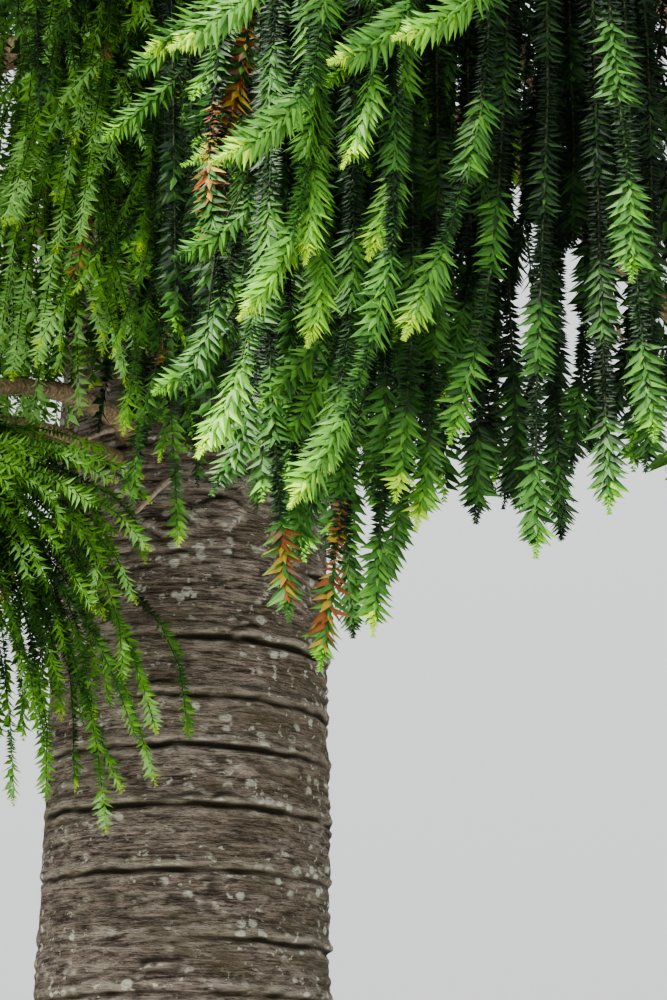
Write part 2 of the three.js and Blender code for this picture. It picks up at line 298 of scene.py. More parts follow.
@dataclass(frozen=True)
class TrunkBark:
    """The trunk's grey-brown ringed bark, with level wrinkles, moss and pale lichen, painted shade in its
    creases and under its lips, and painted highlights on its lips.
    """

    ridge: Colour = (0.560, 0.462, 0.402)
    body: Colour = (0.215, 0.165, 0.140)
    gap: Colour = (0.034, 0.024, 0.019)
    # The bark gets darker towards the foot, between the two heights given below
    damp: Colour = (0.058, 0.044, 0.036)
    # crease is painted shade, laid in the grooves, wrinkles, folds and pits by the crease mask
    crease: Colour = (0.026, 0.021, 0.012)
    # The olive of moss, laid together with painted shade under the lips, in wrinkles and on the creased side
    moss: Colour = (0.165, 0.142, 0.078)
    rust: Colour = (0.265, 0.165, 0.128)
    # lip is the pale of the lips: laid by the ridge mask it is a painted highlight, elsewhere it colours
    # pale marks
    lip: Colour = (0.590, 0.530, 0.455)
    lichen: Colour = (0.800, 0.810, 0.700)
    roughness: float = 0.86
    damp_heights: tuple[float, float] = (3.2, 1.9)
    grain_depth: float = 0.018

    def material(self) -> bpy.types.Material:
        """Makes the bark.

        Returns:
            The material, which reads object coordinates and the mesh's three masks: painted shade in the
            creases, painted highlights on the lips, and moss with painted shade.
        """
        paint = Paint("trunk_bark")
        crease, ridge, moss = (paint.attribute(name) for name in Masks.NAMES)
        grain = paint.noise((15.0, 15.0, 66.0), 7.0, 0.70, 0.4)
        fine = paint.noise((70.0, 70.0, 190.0), 4.0, 0.68)
        streaks = paint.noise((8.0, 8.0, 135.0), 5.0, 0.62, 0.3)
        marks = paint.noise((9.0, 9.0, 40.0), 5.0, 0.66, 0.5)
        plates = paint.cracks((36.0, 36.0, 88.0), 1.4, 0.34)
        patches = paint.noise((2.6, 2.6, 5.5), 4.0)
        flecks = paint.blots((15.0, 15.0, 19.0), 0.5, 0.34)
        specks = paint.noise((27.0, 27.0, 38.0), 3.0, 0.6, 0.3).step(0.60, 0.66)
        clusters = paint.noise((2.7, 2.7, 5.0), 4.0, 0.7)
        height = paint.node("ShaderNodeSeparateXYZ", {}, {0: paint.place((1.0, 1.0, 1.0))}, "Z")
        pale = flecks * (clusters.step(0.47, 0.58) + ridge)
        pale = pale + specks * (clusters.step(0.42, 0.55) + ridge * 0.5)
        pale = pale * (1 - crease.step(0.1, 0.5)) * grain.step(0.30, 0.44) * fine.step(0.30, 0.44)
        colour = paint.layers(
            self.body,
            (grain.step(0.34, 0.66), self.ridge),
            (patches.step(0.42, 0.62) * 0.85, self.body),
            (paint.noise((1.3, 1.3, 3.0), 3.0).step(0.5, 0.7) * 0.4, self.rust),
            (plates * grain.step(0.60, 0.42) * 0.30, self.gap),
            # Darker towards the foot
            (height.step(*self.damp_heights) * (0.45 + 0.25 * patches), self.damp),
            (marks.step(0.48, 0.38) * 0.65, self.gap),
            (grain.step(0.47, 0.37) * 0.75, self.gap),
            (streaks.step(0.48, 0.38) * 0.65, self.gap),
            (streaks.step(0.54, 0.63) * 0.5, self.ridge),
            (marks.step(0.54, 0.62) * 0.4, self.lip),
            (fine.step(0.46, 0.36) * 0.35, self.gap),
            # Moss, with painted shade under the lips, in the wrinkles and on the creased side
            (moss * patches.step(0.35, 0.6) * 0.8, self.moss),
            # Painted highlight on the lips
            (ridge * grain.step(0.3, 0.6) * 0.85, self.lip),
            # Painted shade in the creases, wrinkles and folds
            (crease.step(0.15, 0.85), self.crease),
            (pale * 0.85, self.lichen),
        )
        rough = grain * 0.14 + (self.roughness - 0.07)
        paint.set(Base_Color=colour, Roughness=rough, Specular_IOR_Level=0.3)
        relief = grain + streaks * 0.6 + marks * 0.6 + fine * 0.25 + pale * 0.2 - plates * 0.2
        paint.bump(relief, self.grain_depth)
        return paint.material


@dataclass(frozen=True)
class LimbBark:
    """The scaly bark of boughs, dead stubs and twigs."""

    name: str = "limb_bark"
    pale: Colour = (0.530, 0.415, 0.260)
    dark: Colour = (0.215, 0.150, 0.090)
    scale: float = 60.0

    def material(self) -> bpy.types.Material:
        """Makes the bark of a limb.

        Returns:
            The material, with scales and scars in colour and bump.
        """
        paint = Paint(self.name)
        scales = paint.noise((self.scale,) * 3, 4.0, 0.62)
        broad = paint.noise((self.scale / 9,) * 3, 3.0)
        gaps = paint.cracks((self.scale * 0.8,) * 3, 0.5, 0.2)
        patches = ((scales.step(0.36, 0.64), self.pale), (broad.step(0.4, 0.7) * 0.5, self.dark))
        colour = paint.layers(self.dark, *patches, (gaps * 0.5, self.dark))
        paint.set(Base_Color=colour, Roughness=scales * 0.2 + 0.68)
        paint.bump(scales - gaps * 0.5, 0.005, 0.8)
        return paint.material


class Tint(IntEnum):
    """The colours of leaves, in the order of the slots of each piece of leaves."""

    # DEEP to PALE are one leaf green painted in steps of light, from deep shade to the brightest lit leaves,
    # young leaves a step lighter; TIP is the buds' colour, and AMBER, RUST and DEAD old leaves
    DEEP = 0
    DARK = 1
    MID = 2
    FRESH = 3
    BRIGHT = 4
    PALE = 5
    TIP = 6
    AMBER = 7
    RUST = 8
    DEAD = 9


@dataclass(frozen=True)
class LeafFinish:
    """A stiff leaf's finish: one plain base colour, dealt out by spray, under a waxy gloss."""

    tint: Tint
    colour: Colour
    roughness: float = 0.45
    gloss: float = 0.33

    def material(self) -> bpy.types.Material:
        """Makes the leaf's material."""
        paint = Paint(f"leaf_{self.tint.name.lower()}")
        paint.set(Base_Color=(*self.colour, 1.0), Roughness=self.roughness, Specular_IOR_Level=self.gloss)
        return paint.material


LIMB_BARK = LimbBark()
DEAD_WOOD = LimbBark("dead_wood", (0.640, 0.530, 0.420), (0.400, 0.310, 0.240), 34.0)
TWIG_BARK = LimbBark("twig_bark", (0.060, 0.085, 0.028), (0.024, 0.034, 0.012), 40.0)
# The first six colours paint light and shade on the same green
LEAF_FINISHES = (
    LeafFinish(Tint.DEEP, (0.010, 0.024, 0.010), roughness=0.5, gloss=0.3),
    LeafFinish(Tint.DARK, (0.022, 0.060, 0.016), roughness=0.45, gloss=0.35),
    LeafFinish(Tint.MID, (0.052, 0.148, 0.028)),
    LeafFinish(Tint.FRESH, (0.098, 0.248, 0.038)),
    LeafFinish(Tint.BRIGHT, (0.185, 0.425, 0.052)),
    LeafFinish(Tint.PALE, (0.335, 0.645, 0.185)),
    LeafFinish(Tint.TIP, (0.470, 0.720, 0.075)),
    LeafFinish(Tint.AMBER, (0.300, 0.215, 0.035), roughness=0.5, gloss=0.4),
    LeafFinish(Tint.RUST, (0.190, 0.070, 0.022), roughness=0.6, gloss=0.3),
    LeafFinish(Tint.DEAD, (0.210, 0.130, 0.085), roughness=0.75, gloss=0.2),
)


@dataclass(frozen=True)
class FloorFinish:
    """A plain pale studio floor."""

    colour: Colour = (0.56, 0.56, 0.54)

    def material(self) -> bpy.types.Material:
        """Makes the floor's material, with a faint cloudiness."""
        paint = Paint("floor")
        pale = tuple(c * 1.05 for c in self.colour)
        paint.set(Base_Color=paint.mix(paint.noise((0.05,) * 3, 2.0), self.colour, pale), Roughness=0.9)
        return paint.material


# Meshes


def start_clean() -> None:
    """Leaves edit mode and deselects everything, so that an operator acts only on what is new."""
    if bpy.context.object and bpy.context.object.mode != "OBJECT":
        bpy.ops.object.mode_set(mode="OBJECT")
    bpy.ops.object.select_all(action="DESELECT")


def read_points(mesh: bpy.types.Mesh) -> Array:
    """The points of a mesh as (n, 3)."""
    flat = np.zeros(len(mesh.vertices) * 3)
    mesh.vertices.foreach_get("co", flat)
    return flat.reshape(-1, 3)


def settle(piece: bpy.types.Object, nodes: Sequence[str]) -> None:
    """Puts a finished piece into the frame.

    Args:
        piece: The piece.
        nodes: The solids that it stands for.
    """
    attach(piece, "root")
    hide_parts(*nodes)
    triangles = sum(len(face.vertices) - 2 for face in piece.data.polygons)
    LOG.info("%s: %d triangles, for %d nodes", piece.name, triangles, len(nodes))


@dataclass
class Shell:
    """Points and triangles of many small things that will be one piece, with the slot of each triangle."""

    points: Array
    faces: Array
    slots: Array
    smooth: bool = False

    @staticmethod
    def join(shells: Sequence["Shell"]) -> "Shell":
        """One shell of several."""
        starts = np.cumsum([0] + [len(shell.points) for shell in shells[:-1]])
        points = np.concatenate([shell.points for shell in shells])
        faces = np.concatenate([shell.faces + start for shell, start in zip(shells, starts)])
        return Shell(points, faces, np.concatenate([shell.slots for shell in shells]), shells[0].smooth)

    def piece(self, name: str, materials: Sequence[bpy.types.Material]) -> bpy.types.Object:
        """Makes one mesh object of the shell.

        Args:
            name: The piece's name.
            materials: Its materials, in the order of the triangles' slots.

        Returns:
            The object, at the origin, with its place in its mesh.
        """
        mesh = bpy.data.meshes.new(name)
        mesh.vertices.add(len(self.points))
        mesh.vertices.foreach_set("co", self.points.astype(np.float32).ravel())
        mesh.loops.add(self.faces.size)
        mesh.loops.foreach_set("vertex_index", self.faces.astype(np.int32).ravel())
        mesh.polygons.add(len(self.faces))
        mesh.polygons.foreach_set("loop_start", np.arange(len(self.faces), dtype=np.int32) * 3)
        for material in materials:
            mesh.materials.append(material)
        mesh.polygons.foreach_set("material_index", self.slots.astype(np.int32))
        mesh.polygons.foreach_set("use_smooth", np.full(len(self.faces), self.smooth))
        mesh.update(calc_edges=True)
        made = bpy.data.objects.new(name, mesh)
        bpy.context.scene.collection.objects.link(made)
        return made


@dataclass(frozen=True)
class LimbBlank:
    """A straight limb that every bough, twig and stem is bent from: rings of points between two poles.

    across and above give each point's place on its ring, and row the point of a line that it goes to. The
    poles go to the first and the last.
    """

    across: Array
    above: Array
    row: Array
    faces: Array

    @staticmethod
    @lru_cache(maxsize=None)
    def model(sides: int, rings: int) -> "LimbBlank":
        """Models the blank once: a filled circle, extruded ring by ring.

        Args:
            sides: How many sides it has.
            rings: How many rings of points it has.

        Returns:
            The blank.
        """
        start_clean()
        bpy.ops.mesh.primitive_circle_add(vertices=sides, radius=1.0, fill_type="TRIFAN")
        made = bpy.context.object
        bpy.ops.object.mode_set(mode="EDIT")
        bpy.ops.mesh.select_all(action="SELECT")
        for _ in range(rings - 1):
            bpy.ops.mesh.extrude_region_move(TRANSFORM_OT_translate={"value": (0.0, 0.0, 1.0)})
        bpy.ops.mesh.select_all(action="SELECT")
        bpy.ops.mesh.normals_make_consistent(inside=False)
        bpy.ops.mesh.quads_convert_to_tris()
        bpy.ops.object.mode_set(mode="OBJECT")
        points = read_points(made.data)
        faces = np.array([tuple(face.vertices) for face in made.data.polygons])
        # Extrude lists the faces in another order on each run, so they are sorted here
        first = faces.argmin(axis=1)[:, None]
        faces = np.take_along_axis(faces, (first + np.arange(3)) % 3, axis=1)
        faces = faces[np.lexsort(faces.T[::-1])]
        middle = np.hypot(points[:, 0], points[:, 1]) < 0.5
        ring = np.rint(points[:, 2]).astype(int) + 1
        row = np.where(middle, np.where(ring == 1, 0, rings + 1), ring)
        bpy.data.objects.remove(made)
        return LimbBlank(points[:, 0], points[:, 1], row, faces)

    def bend(self, lines: Array, radii: Array, facing: Array) -> Shell:
        """Copies the blank along lines.

        Args:
            lines: The middle lines as (limbs, points, 3), with a pole on the first and the last point.
            radii: The radius at each point as (limbs, points).
            facing: A direction across each line as (limbs, 3).

        Returns:
            One shell.
        """
        ahead = unit(np.gradient(lines, axis=1))
        side = unit(np.cross(ahead, facing[:, None, :]))
        above = np.cross(ahead, side)
        ring = side[:, self.row] * self.across[:, None] + above[:, self.row] * self.above[:, None]
        points = lines[:, self.row] + ring * radii[:, self.row, None]
        start = np.arange(len(lines))[:, None, None] * len(self.row)
        faces = (self.faces[None] + start).reshape(-1, 3)
        return Shell(points.reshape(-1, 3), faces, np.zeros(len(faces), dtype=int), smooth=True)


# The photograph's view


@dataclass(frozen=True)
class Eye:
    """Where the photograph was taken from, and with which lens."""

    place: tuple[float, float, float] = (0.51, -8.1, 1.6)
    pitch: float = math.radians(16.0)
    lens: float = 85.0
    sensor: float = 36.0
    width: int = 667
    height: int = 1000

    def focal(self) -> float:
        """The focal length in pixels."""
        return self.lens / self.sensor * self.height

    def pixels(self, points: Array) -> tuple[Array, Array, Array]:
        """Where points fall in the photograph.

        Args:
            points: Places, with x, y and z in the last axis.

        Returns:
            The pixel's x, its y, and the depth in metres.
        """
        off = points - np.array(self.place)
        depth = off[..., 1] * math.cos(self.pitch) + off[..., 2] * math.sin(self.pitch)
        high = off[..., 2] * math.cos(self.pitch) - off[..., 1] * math.sin(self.pitch)
        scale = self.focal() / np.maximum(depth, 0.05)
        return self.width / 2 + scale * off[..., 0], self.height / 2 - scale * high, depth

    def spots(self, route: Array, away: Array | float) -> Array:
        """The places that fall on pixels at a level distance along +Y.

        Args:
            route: The pixels as (..., 2).
            away: How far along +Y from the camera, in metres.

        Returns:
            The places.
        """
        right = (route[..., 0] - self.width / 2) / self.focal()
        up = (self.height / 2 - route[..., 1]) / self.focal()
        scale = away / (math.cos(self.pitch) - up * math.sin(self.pitch))
        rise = math.sin(self.pitch) + up * math.cos(self.pitch)
        return np.stack([right * scale, away + 0 * scale, rise * scale], axis=-1) + np.array(self.place)

    def make(self) -> None:
        """Adds the camera and makes it the scene's."""
        data = bpy.data.cameras.new("camera")
        data.lens = self.lens
        data.sensor_width = self.sensor
        data.clip_end = 500.0
        made = bpy.data.objects.new("camera", data)
        made.location = self.place
        made.rotation_euler = (math.pi / 2 + self.pitch, 0.0, 0.0)
        bpy.context.scene.collection.objects.link(made)
        bpy.context.scene.camera = made


@dataclass(frozen=True)
class View:
    """A part of the photograph, in its pixels, and of what it shows beyond a depth."""

    left: float
    top: float
    right: float
    bottom: float
    beyond: float = 0.1

    def holds(self, x: Array, y: Array, depth: Array) -> Array:
        """True for the points that lie in it."""
        across = (x > self.left) & (x < self.right)
        return across & (y > self.top) & (y < self.bottom) & (depth > self.beyond)

    @staticmethod
    def any_holds(views: Sequence["View"], x: Array, y: Array, depth: Array) -> Array:
        """True for the points that lie in one of several."""
        return np.any([view.holds(x, y, depth) for view in views], axis=0)


# What shows no foliage, the gaps where ropes end, and what the near ropes, the frame and the trunk cover
OPEN_VIEWS = (
    View(335, 490, 760, 1100),
    View(160, 520, 335, 1100),
    View(-80, 845, 160, 1100),
    View(-80, 380, 160, 860, beyond=7.4),
    View(500, 190, 640, 490),
    View(545, 470, 590, 580),
    View(-80, 20, 24, 150, beyond=5.6),
)
SKY_GAPS = (
    View(506, 252, 536, 338),
    View(544, 226, 580, 334),
    View(544, 398, 568, 470),
    View(-60, 40, 20, 136),
)
NEAR_VIEW = View(-70, -130, 740, 1100)
WHOLE_VIEW = View(-60, -80, 727, 1060, beyond=0.5)
BEHIND_TRUNK = View(80, -math.inf, 287, math.inf, beyond=8.3)


# The trunk


@dataclass(frozen=True)
class Fold:
    """A lens-shaped fold of the bark, or a knot where a bough was shed, at an azimuth in degrees."""

    azimuth: float
    height: float
    half_width: float
    half_height: float
    swell: float = 0.012
    pit: float = 0.0


class Masks(dict):
    """The masks of the bark's finish, one value from 0 to 1 for each of the trunk's points."""

    # The first mask paints shade in the grooves, the second highlights on the lips, the third moss together
    # with shade
    NAMES = ("crease", "ridge", "moss")

    def __init__(self, count: int) -> None:
        """Starts every mask at 0 for that many points."""
        super().__init__((name, np.zeros(count)) for name in self.NAMES)

    def lift(self, name: str, values: Array, near: Array | slice = slice(None)) -> None:
        """Raises a mask to these values where it is lower."""
        self[name][near] = np.maximum(self[name][near], values)


@dataclass
class Trunk:
    """The trunk, by the same taper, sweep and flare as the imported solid, with the bark's relief."""

    height: float = 18.7
    radius: float = 0.5
    tip_radius: float = 0.045
    taper_power: float = 1.9
    sweep: float = 0.09
    flare: float = 0.15
    flare_height: float = 0.42
    lobes: int = 7
    lobe_share: float = 0.07
    sides: int = 176
    front_crowding: float = 0.42
    row_heights: tuple[float, ...] = (0.0, 2.0, 4.15, 5.6)
    row_steps: tuple[float, ...] = (0.04, 0.0086, 0.032)
    top_rows: int = 185
    ring_step: float = 0.19
    shown_rings: tuple[float, ...] = (2.16, 2.33, 2.545, 2.75, 2.945, 3.11, 3.31, 3.60, 3.80, 3.98)
    lip: float = 0.012
    groove: float = 0.013
    # The side where the creases are strongest and the bark is painted darker with moss and shade, turned
    # from the light
    worn_side: float = math.radians(-25)
    folds: tuple[Fold, ...] = (
        Fold(-97.6, 3.14, 0.085, 0.024),
        Fold(-63.9, 3.335, 0.075, 0.024),
        Fold(-90.0, 2.765, 0.11, 0.022),
        Fold(-70.0, 2.775, 0.07, 0.018),
        Fold(-75.8, 2.50, 0.06, 0.018, 0.008, 0.012),
        Fold(-112.0, 2.56, 0.07, 0.016),
        Fold(-95.0, 2.24, 0.09, 0.018),
        Fold(-94.3, 3.70, 0.10, 0.045, 0.022, 0.018),
        Fold(-66.3, 3.88, 0.085, 0.062, 0.030, 0.022),
        Fold(-78.0, 3.74, 0.12, 0.040, 0.018, 0.010),
        Fold(-108.0, 4.20, 0.07, 0.050, 0.025, 0.02),
    )

    def radius_at(self, height: Array | float) -> Array:
        """The radius without flare and relief."""
        share = np.minimum(np.asarray(height, dtype=float) / self.height, 1.0)
        return self.tip_radius + (self.radius - self.tip_radius) * (1 - share**self.taper_power)

    def axis_at(self, height: Array | float) -> Array:
        """The middle of the trunk at a height."""
        height = np.asarray(height, dtype=float)
        share = np.minimum(height / self.height, 1.0)
        return np.stack([self.sweep * share * share, 0 * share, height], axis=-1)

    def arc(self, angle: Array, height: Array, azimuth: float) -> Array:
        """How far round the bark points are from an azimuth, in metres."""
        turn = angle - azimuth
        return np.arctan2(np.sin(turn), np.cos(turn)) * self.radius_at(height)

    def rows(self) -> Array:
        """The heights of the mesh's rows, closest where the photograph shows the bark."""
        spans = zip(self.row_heights, self.row_heights[1:], self.row_steps)
        low = [np.arange(start, end, step) for start, end, step in spans]
        return np.concatenate([*low, np.linspace(self.row_heights[-1], self.height, self.top_rows)])

    def rings(self, rng: np.random.Generator) -> Array:
        """The heights of all rings: those that the photograph shows, and more below and above them."""
        below = np.arange(self.shown_rings[0] - self.ring_step, 0.25, -self.ring_step)
        above = np.arange(self.shown_rings[-1] + self.ring_step, self.height - 0.4, self.ring_step)
        guessed = np.concatenate([below, above])
        guessed = guessed + rng.uniform(-0.05, 0.05, len(guessed))
        return np.sort(np.concatenate([guessed, self.shown_rings]))

    def crease_line(self, off: Array, strength: Array, masks: Masks, near: Array) -> Array:
        """One level crease with a lip above and below it.

        Args:
            off: How far above the crease each near point is.
            strength: How strong the crease is there, from 0 to 1.
            masks: The masks of the whole trunk, which are raised.
            near: Which of the trunk's points these are.

        Returns:
            How far each near point stands out.
        """
        half = 0.0050 + 0.0055 * strength
        # The crease mask paints shade in the groove, the ridge mask highlights on both lips, and the moss
        # mask moss with shade under the upper lip
        masks.lift("crease", strength * bell(off - 0.002, half), near)
        masks.lift("ridge", strength * (bell(off - 0.026, 0.014) + 0.7 * bell(off + 0.017, 0.010)), near)
        masks.lift("moss", strength * bell(off - 0.012, 0.020), near)
        lip = bell(off - 0.024, 0.018) + 0.55 * bell(off + 0.018, 0.013)
        return strength * (self.lip * lip - self.groove * bell(off, half))

    def ring_relief(self, angle: Array, height: Array, masks: Masks) -> Array:
        """The relief of all rings, and of the partial creases between them.

        Args:
            angle: The azimuth of each point.
            height: The height of each point.
            masks: The masks of the whole trunk, which are raised.

        Returns:
            How far each point stands out.
        """
        rng = np.random.default_rng(SEED)
        around = turned(angle)
        lifted = around + height[:, None] * UP
        waver = 0.017 * wander(lifted * [1.4, 1.4, 1.0], 1) + 0.006 * wander(lifted * [6, 6, 3], 2)
        out = np.zeros(len(angle))
        rings = self.rings(rng)
        for i, ring in enumerate(rings):
            near = np.flatnonzero(np.abs(height - ring) < 0.11)
            spot = around[near] + i * 7.3 * UP
            off = height[near] - ring - waver[near] - 0.005 * wander(spot * [7, 7, 1], 10)
            strength = 0.78 + 0.55 * wander(spot * [1.7, 1.7, 1], 11)
            strength = strength + 0.40 * wander(spot * [7.5, 7.5, 1], 12)
            strength = strength * (0.80 + 0.25 * np.cos(angle[near] - self.worn_side))
            out[near] += self.crease_line(off, np.clip(strength, 0.05, 1.1), masks, near)
        for i, ring in enumerate(rings):
            for k in range(3):
                split = ring + 0.035 + 0.055 * k + 0.03 * rng.random()
                near = np.flatnonzero(np.abs(height - split) < 0.06)
                spot = around[near] + (i * 3.1 + k * 1.7) * UP
                off = height[near] - split - waver[near] - 0.010 * wander(spot * [4, 4, 1], 20)
                bare_side = 0.5 + 0.5 * np.cos(angle[near] - self.worn_side)
                strength = np.clip(1.2 * wander(spot * [1.7, 1.7, 1], 21) - 0.12 + 0.25 * bare_side, 0, 0.6)
                strength = strength * (0.7 + 0.6 * wander(spot * [12, 12, 1], 22))
                out[near] += self.crease_line(off, strength, masks, near) * 0.8
        return out

    def fold_relief(self, angle: Array, height: Array, masks: Masks) -> Array:
        """The relief of the folds and knots."""
        out = np.zeros(len(angle))
        spot = turned(angle) + height[:, None] * UP
        uneven = wander(spot * [9, 9, 24], 31)
        for fold in self.folds:
            across = self.arc(angle, height, math.radians(fold.azimuth)) / fold.half_width
            rim = fold.half_height * np.sqrt(np.clip(1 - across**2, 0, 1))
            inside = np.abs(across) < 1.0
            off = height - fold.height - fold.half_height * (0.3 * across + 0.7 * uneven)
            edge = np.abs(np.abs(off) - rim)
            line = bell(edge, 0.0105) * ease(1.12 - np.abs(across), 0.0, 0.5) * np.clip(0.75 + uneven, 0, 1)
            body = inside * ease(rim - np.abs(off), -0.004, 0.018)
            pit = fold.pit * bell(np.hypot(across, off / 0.02), 0.5)
            out += 1.2 * fold.swell * body - 0.014 * line - pit
            # Painted shade along the fold's rim and in its pit, moss with painted shade on its upper half,
            # and a painted highlight on its lower half
            masks.lift("crease", 0.65 * line)
            masks.lift("moss", body * (off > 0))
            masks.lift("ridge", 0.8 * body * (off < 0))
            if fold.pit:
                masks.lift("crease", 0.6 * bell(np.hypot(across * 1.4, off / 0.03), 0.75))
        return out

    def relief(self, angle: Array, height: Array, collars: Sequence["Bough"]) -> tuple[Array, Masks]:
        """The bark's relief.

        Args:
            angle: The azimuth of each point.
            height: The height of each point.
            collars: The boughs whose collars swell the bark.

        Returns:
            How far each point stands out, and the masks of the bark's finish.
        """
        masks = Masks(len(angle))
        size = self.radius_at(height) / self.radius
        out = (self.ring_relief(angle, height, masks) + self.fold_relief(angle, height, masks)) * size
        lifted = turned(angle) + height[:, None] * UP
        out += 0.010 * wander(lifted * [2.3, 2.3, 1.5], 3) * size
        out += 0.0040 * wander(lifted * [7, 7, 24], 4) * size
        wrinkle = wander(lifted * [3.6, 3.6, 56], 5) + 0.35 * wander(lifted * [12, 12, 95], 7)
        worn = np.cos(angle - self.worn_side)
        creased = 0.35 + 0.65 * ease(worn, -0.3, 0.8)
        out += 0.0060 * wrinkle * size * creased
        # Painted shade and moss in the wrinkles' troughs, and more moss with painted shade on the creased
        # side, which is turned from the light
        masks.lift("crease", 0.30 * creased * ease(-wrinkle, 0.50, 0.95))
        masks.lift("moss", 0.7 * creased * ease(-wrinkle, 0.0, 0.5))
        masks.lift("moss", 0.55 * ease(worn, 0.35, 1.0))
        for bough in collars:
            across = self.arc(angle, height, bough.azimuth)
            along = (height - bough.height) * 0.85
            away = np.hypot(across, along) / bough.thickness
            out += 0.6 * bough.thickness * bell(away, 2.1)
            folds = bell(away - 2.0, 0.22) + 0.6 * bell(away - 2.9, 0.2)
            # Painted shade in the folds under each collar
            masks.lift("crease", 0.5 * folds * (along < 0))
        return out, masks

    def build(self, collars: Sequence["Bough"]) -> bpy.types.Object:
        """Models the trunk: a grid wrapped round the axis, its seam merged and its ends filled.

        Args:
            collars: The boughs whose collars swell the bark.

        Returns:
            The trunk's mesh object.
        """
        rows = self.rows()
        start_clean()
        bpy.ops.mesh.primitive_grid_add(x_subdivisions=self.sides, y_subdivisions=len(rows) - 1, size=1.0)
        made = bpy.context.object
        made.name = "trunk_bark"
        flat = read_points(made.data)
        column = np.rint((flat[:, 0] + 0.5) * self.sides).astype(int) % self.sides
        row = np.rint((flat[:, 1] + 0.5) * (len(rows) - 1)).astype(int)
        even = 2 * math.pi * column / self.sides
        angle = even - self.front_crowding * np.sin(even + math.pi / 2)
        height = rows[row]
        out, masks = self.relief(angle, height, collars)
        foot = np.exp(-height / self.flare_height)
        lobes = 1 + self.lobe_share * foot * np.cos(self.lobes * angle)
        lobed = (1 + self.flare / self.radius * foot) * lobes
        lobed = lobed + 0.05 * foot * wander(turned(angle) * 3.1, 6)
        fade = ease(height, -0.2, 0.25) * ease(self.height - height, -0.1, 0.5)
        out = self.radius_at(height) * lobed + out * fade
        points = self.axis_at(height) + turned(angle) * out[:, None]
        made.data.vertices.foreach_set("co", points.astype(np.float32).ravel())
        for name, values in masks.items():
            layer = made.data.attributes.new(name, "FLOAT", "POINT")
            layer.data.foreach_set("value", np.clip(values, 0, 1).astype(np.float32))
        bpy.ops.object.mode_set(mode="EDIT")
        bpy.ops.mesh.select_all(action="SELECT")
        bpy.ops.mesh.remove_doubles(threshold=1e-5)
        bpy.ops.mesh.select_all(action="DESELECT")
        bpy.ops.mesh.select_non_manifold(extend=False)
        bpy.ops.mesh.edge_face_add()
        bpy.ops.mesh.select_all(action="SELECT")
        bpy.ops.mesh.normals_make_consistent(inside=False)
        bpy.ops.object.mode_set(mode="OBJECT")
        bpy.ops.object.shade_smooth()
        return made

    def dress(self, piece: bpy.types.Object) -> None:
        """Gives the trunk its bark."""
        piece.data.materials.clear()
        piece.data.materials.append(TrunkBark().material())
        settle(piece, ["trunk"])


TRUNK = Trunk()


# Boughs


@dataclass(frozen=True)
class Habit:
    """The sizes that the boughs of a whorl share, with bare as a share of the reach."""

    reach: float
    rise: float
    droop: float
    lift: float
    thickness: float
    bare: float
    twigs: int
    twig_length: float
    rope_length: float
    hang: float


@dataclass(frozen=True, kw_only=True)
class Bough(Habit):
    """One bough, by the same rule as in the part's source."""

    label: str
    whorl: str
    height: float
    azimuth: float
    # How light the leaves of its ropes are painted, for the light and shade they hang in
    tone: float = 0.48

    SWEEP = 0.05
    TAPER = 0.42
    COLLAR_SHARE = 0.85
    COLLAR_LENGTH = 0.16
    TIP_SHARE = 0.28
    LOW_LIMIT = 2.05
    END = 0.955

    def points(self, s: Array) -> Array:
        """Points of the middle line, for s from 0 at the trunk's axis to 1 at the tip."""
        s = np.asarray(s, dtype=float)
        out = (self.reach * s)[..., None] * turned(self.azimuth)
        across = (self.reach * self.SWEEP * s * s)[..., None] * turned(self.azimuth + math.pi / 2)
        climb = self.reach * (self.rise * s - self.droop * s * s + self.lift * s**3)
        return TRUNK.axis_at(self.height) + out + across + climb[..., None] * UP

    def aheads(self, s: Array) -> Array:
        """Unit directions of the middle line."""
        s = np.asarray(s, dtype=float)
        return unit(self.points(s + 1e-3) - self.points(s - 1e-3))

    def radii(self, s: Array) -> Array:
        """The limb's radius: a collar at the trunk, a slow taper, and a fine tip inside the foliage."""
        from_bark = self.reach * s - TRUNK.radius_at(self.height)
        collar = 1 + self.COLLAR_SHARE * np.exp(-np.maximum(from_bark, 0) / self.COLLAR_LENGTH)
        inside = np.clip((s - self.bare) / (1 - self.bare), 0, 1)
        return self.thickness * collar * (1 - self.TAPER * s) * blend(1, self.TIP_SHARE, inside)


@dataclass(frozen=True)
class Whorl:
    """The boughs that leave the trunk at one height, within an arc in degrees."""

    name: str
    height: float
    count: int
    first: float
    arc: float
    habit: Habit

    def bough(self, label: str, height: float, azimuth: float, **changes: object) -> Bough:
        """A bough of this whorl at that height and azimuth in degrees, with some sizes changed."""
        sizes = asdict(self.habit) | changes
        return Bough(label=label, whorl=self.name, height=height, azimuth=math.radians(azimuth), **sizes)

    def boughs(self) -> list[Bough]:
        """The whorl's own boughs, one for each packed limb."""
        azimuths = [self.first + self.arc / self.count * i for i in range(self.count)]
        return [self.bough(f"{self.name}_{i + 1}", self.height, a) for i, a in enumerate(azimuths)]


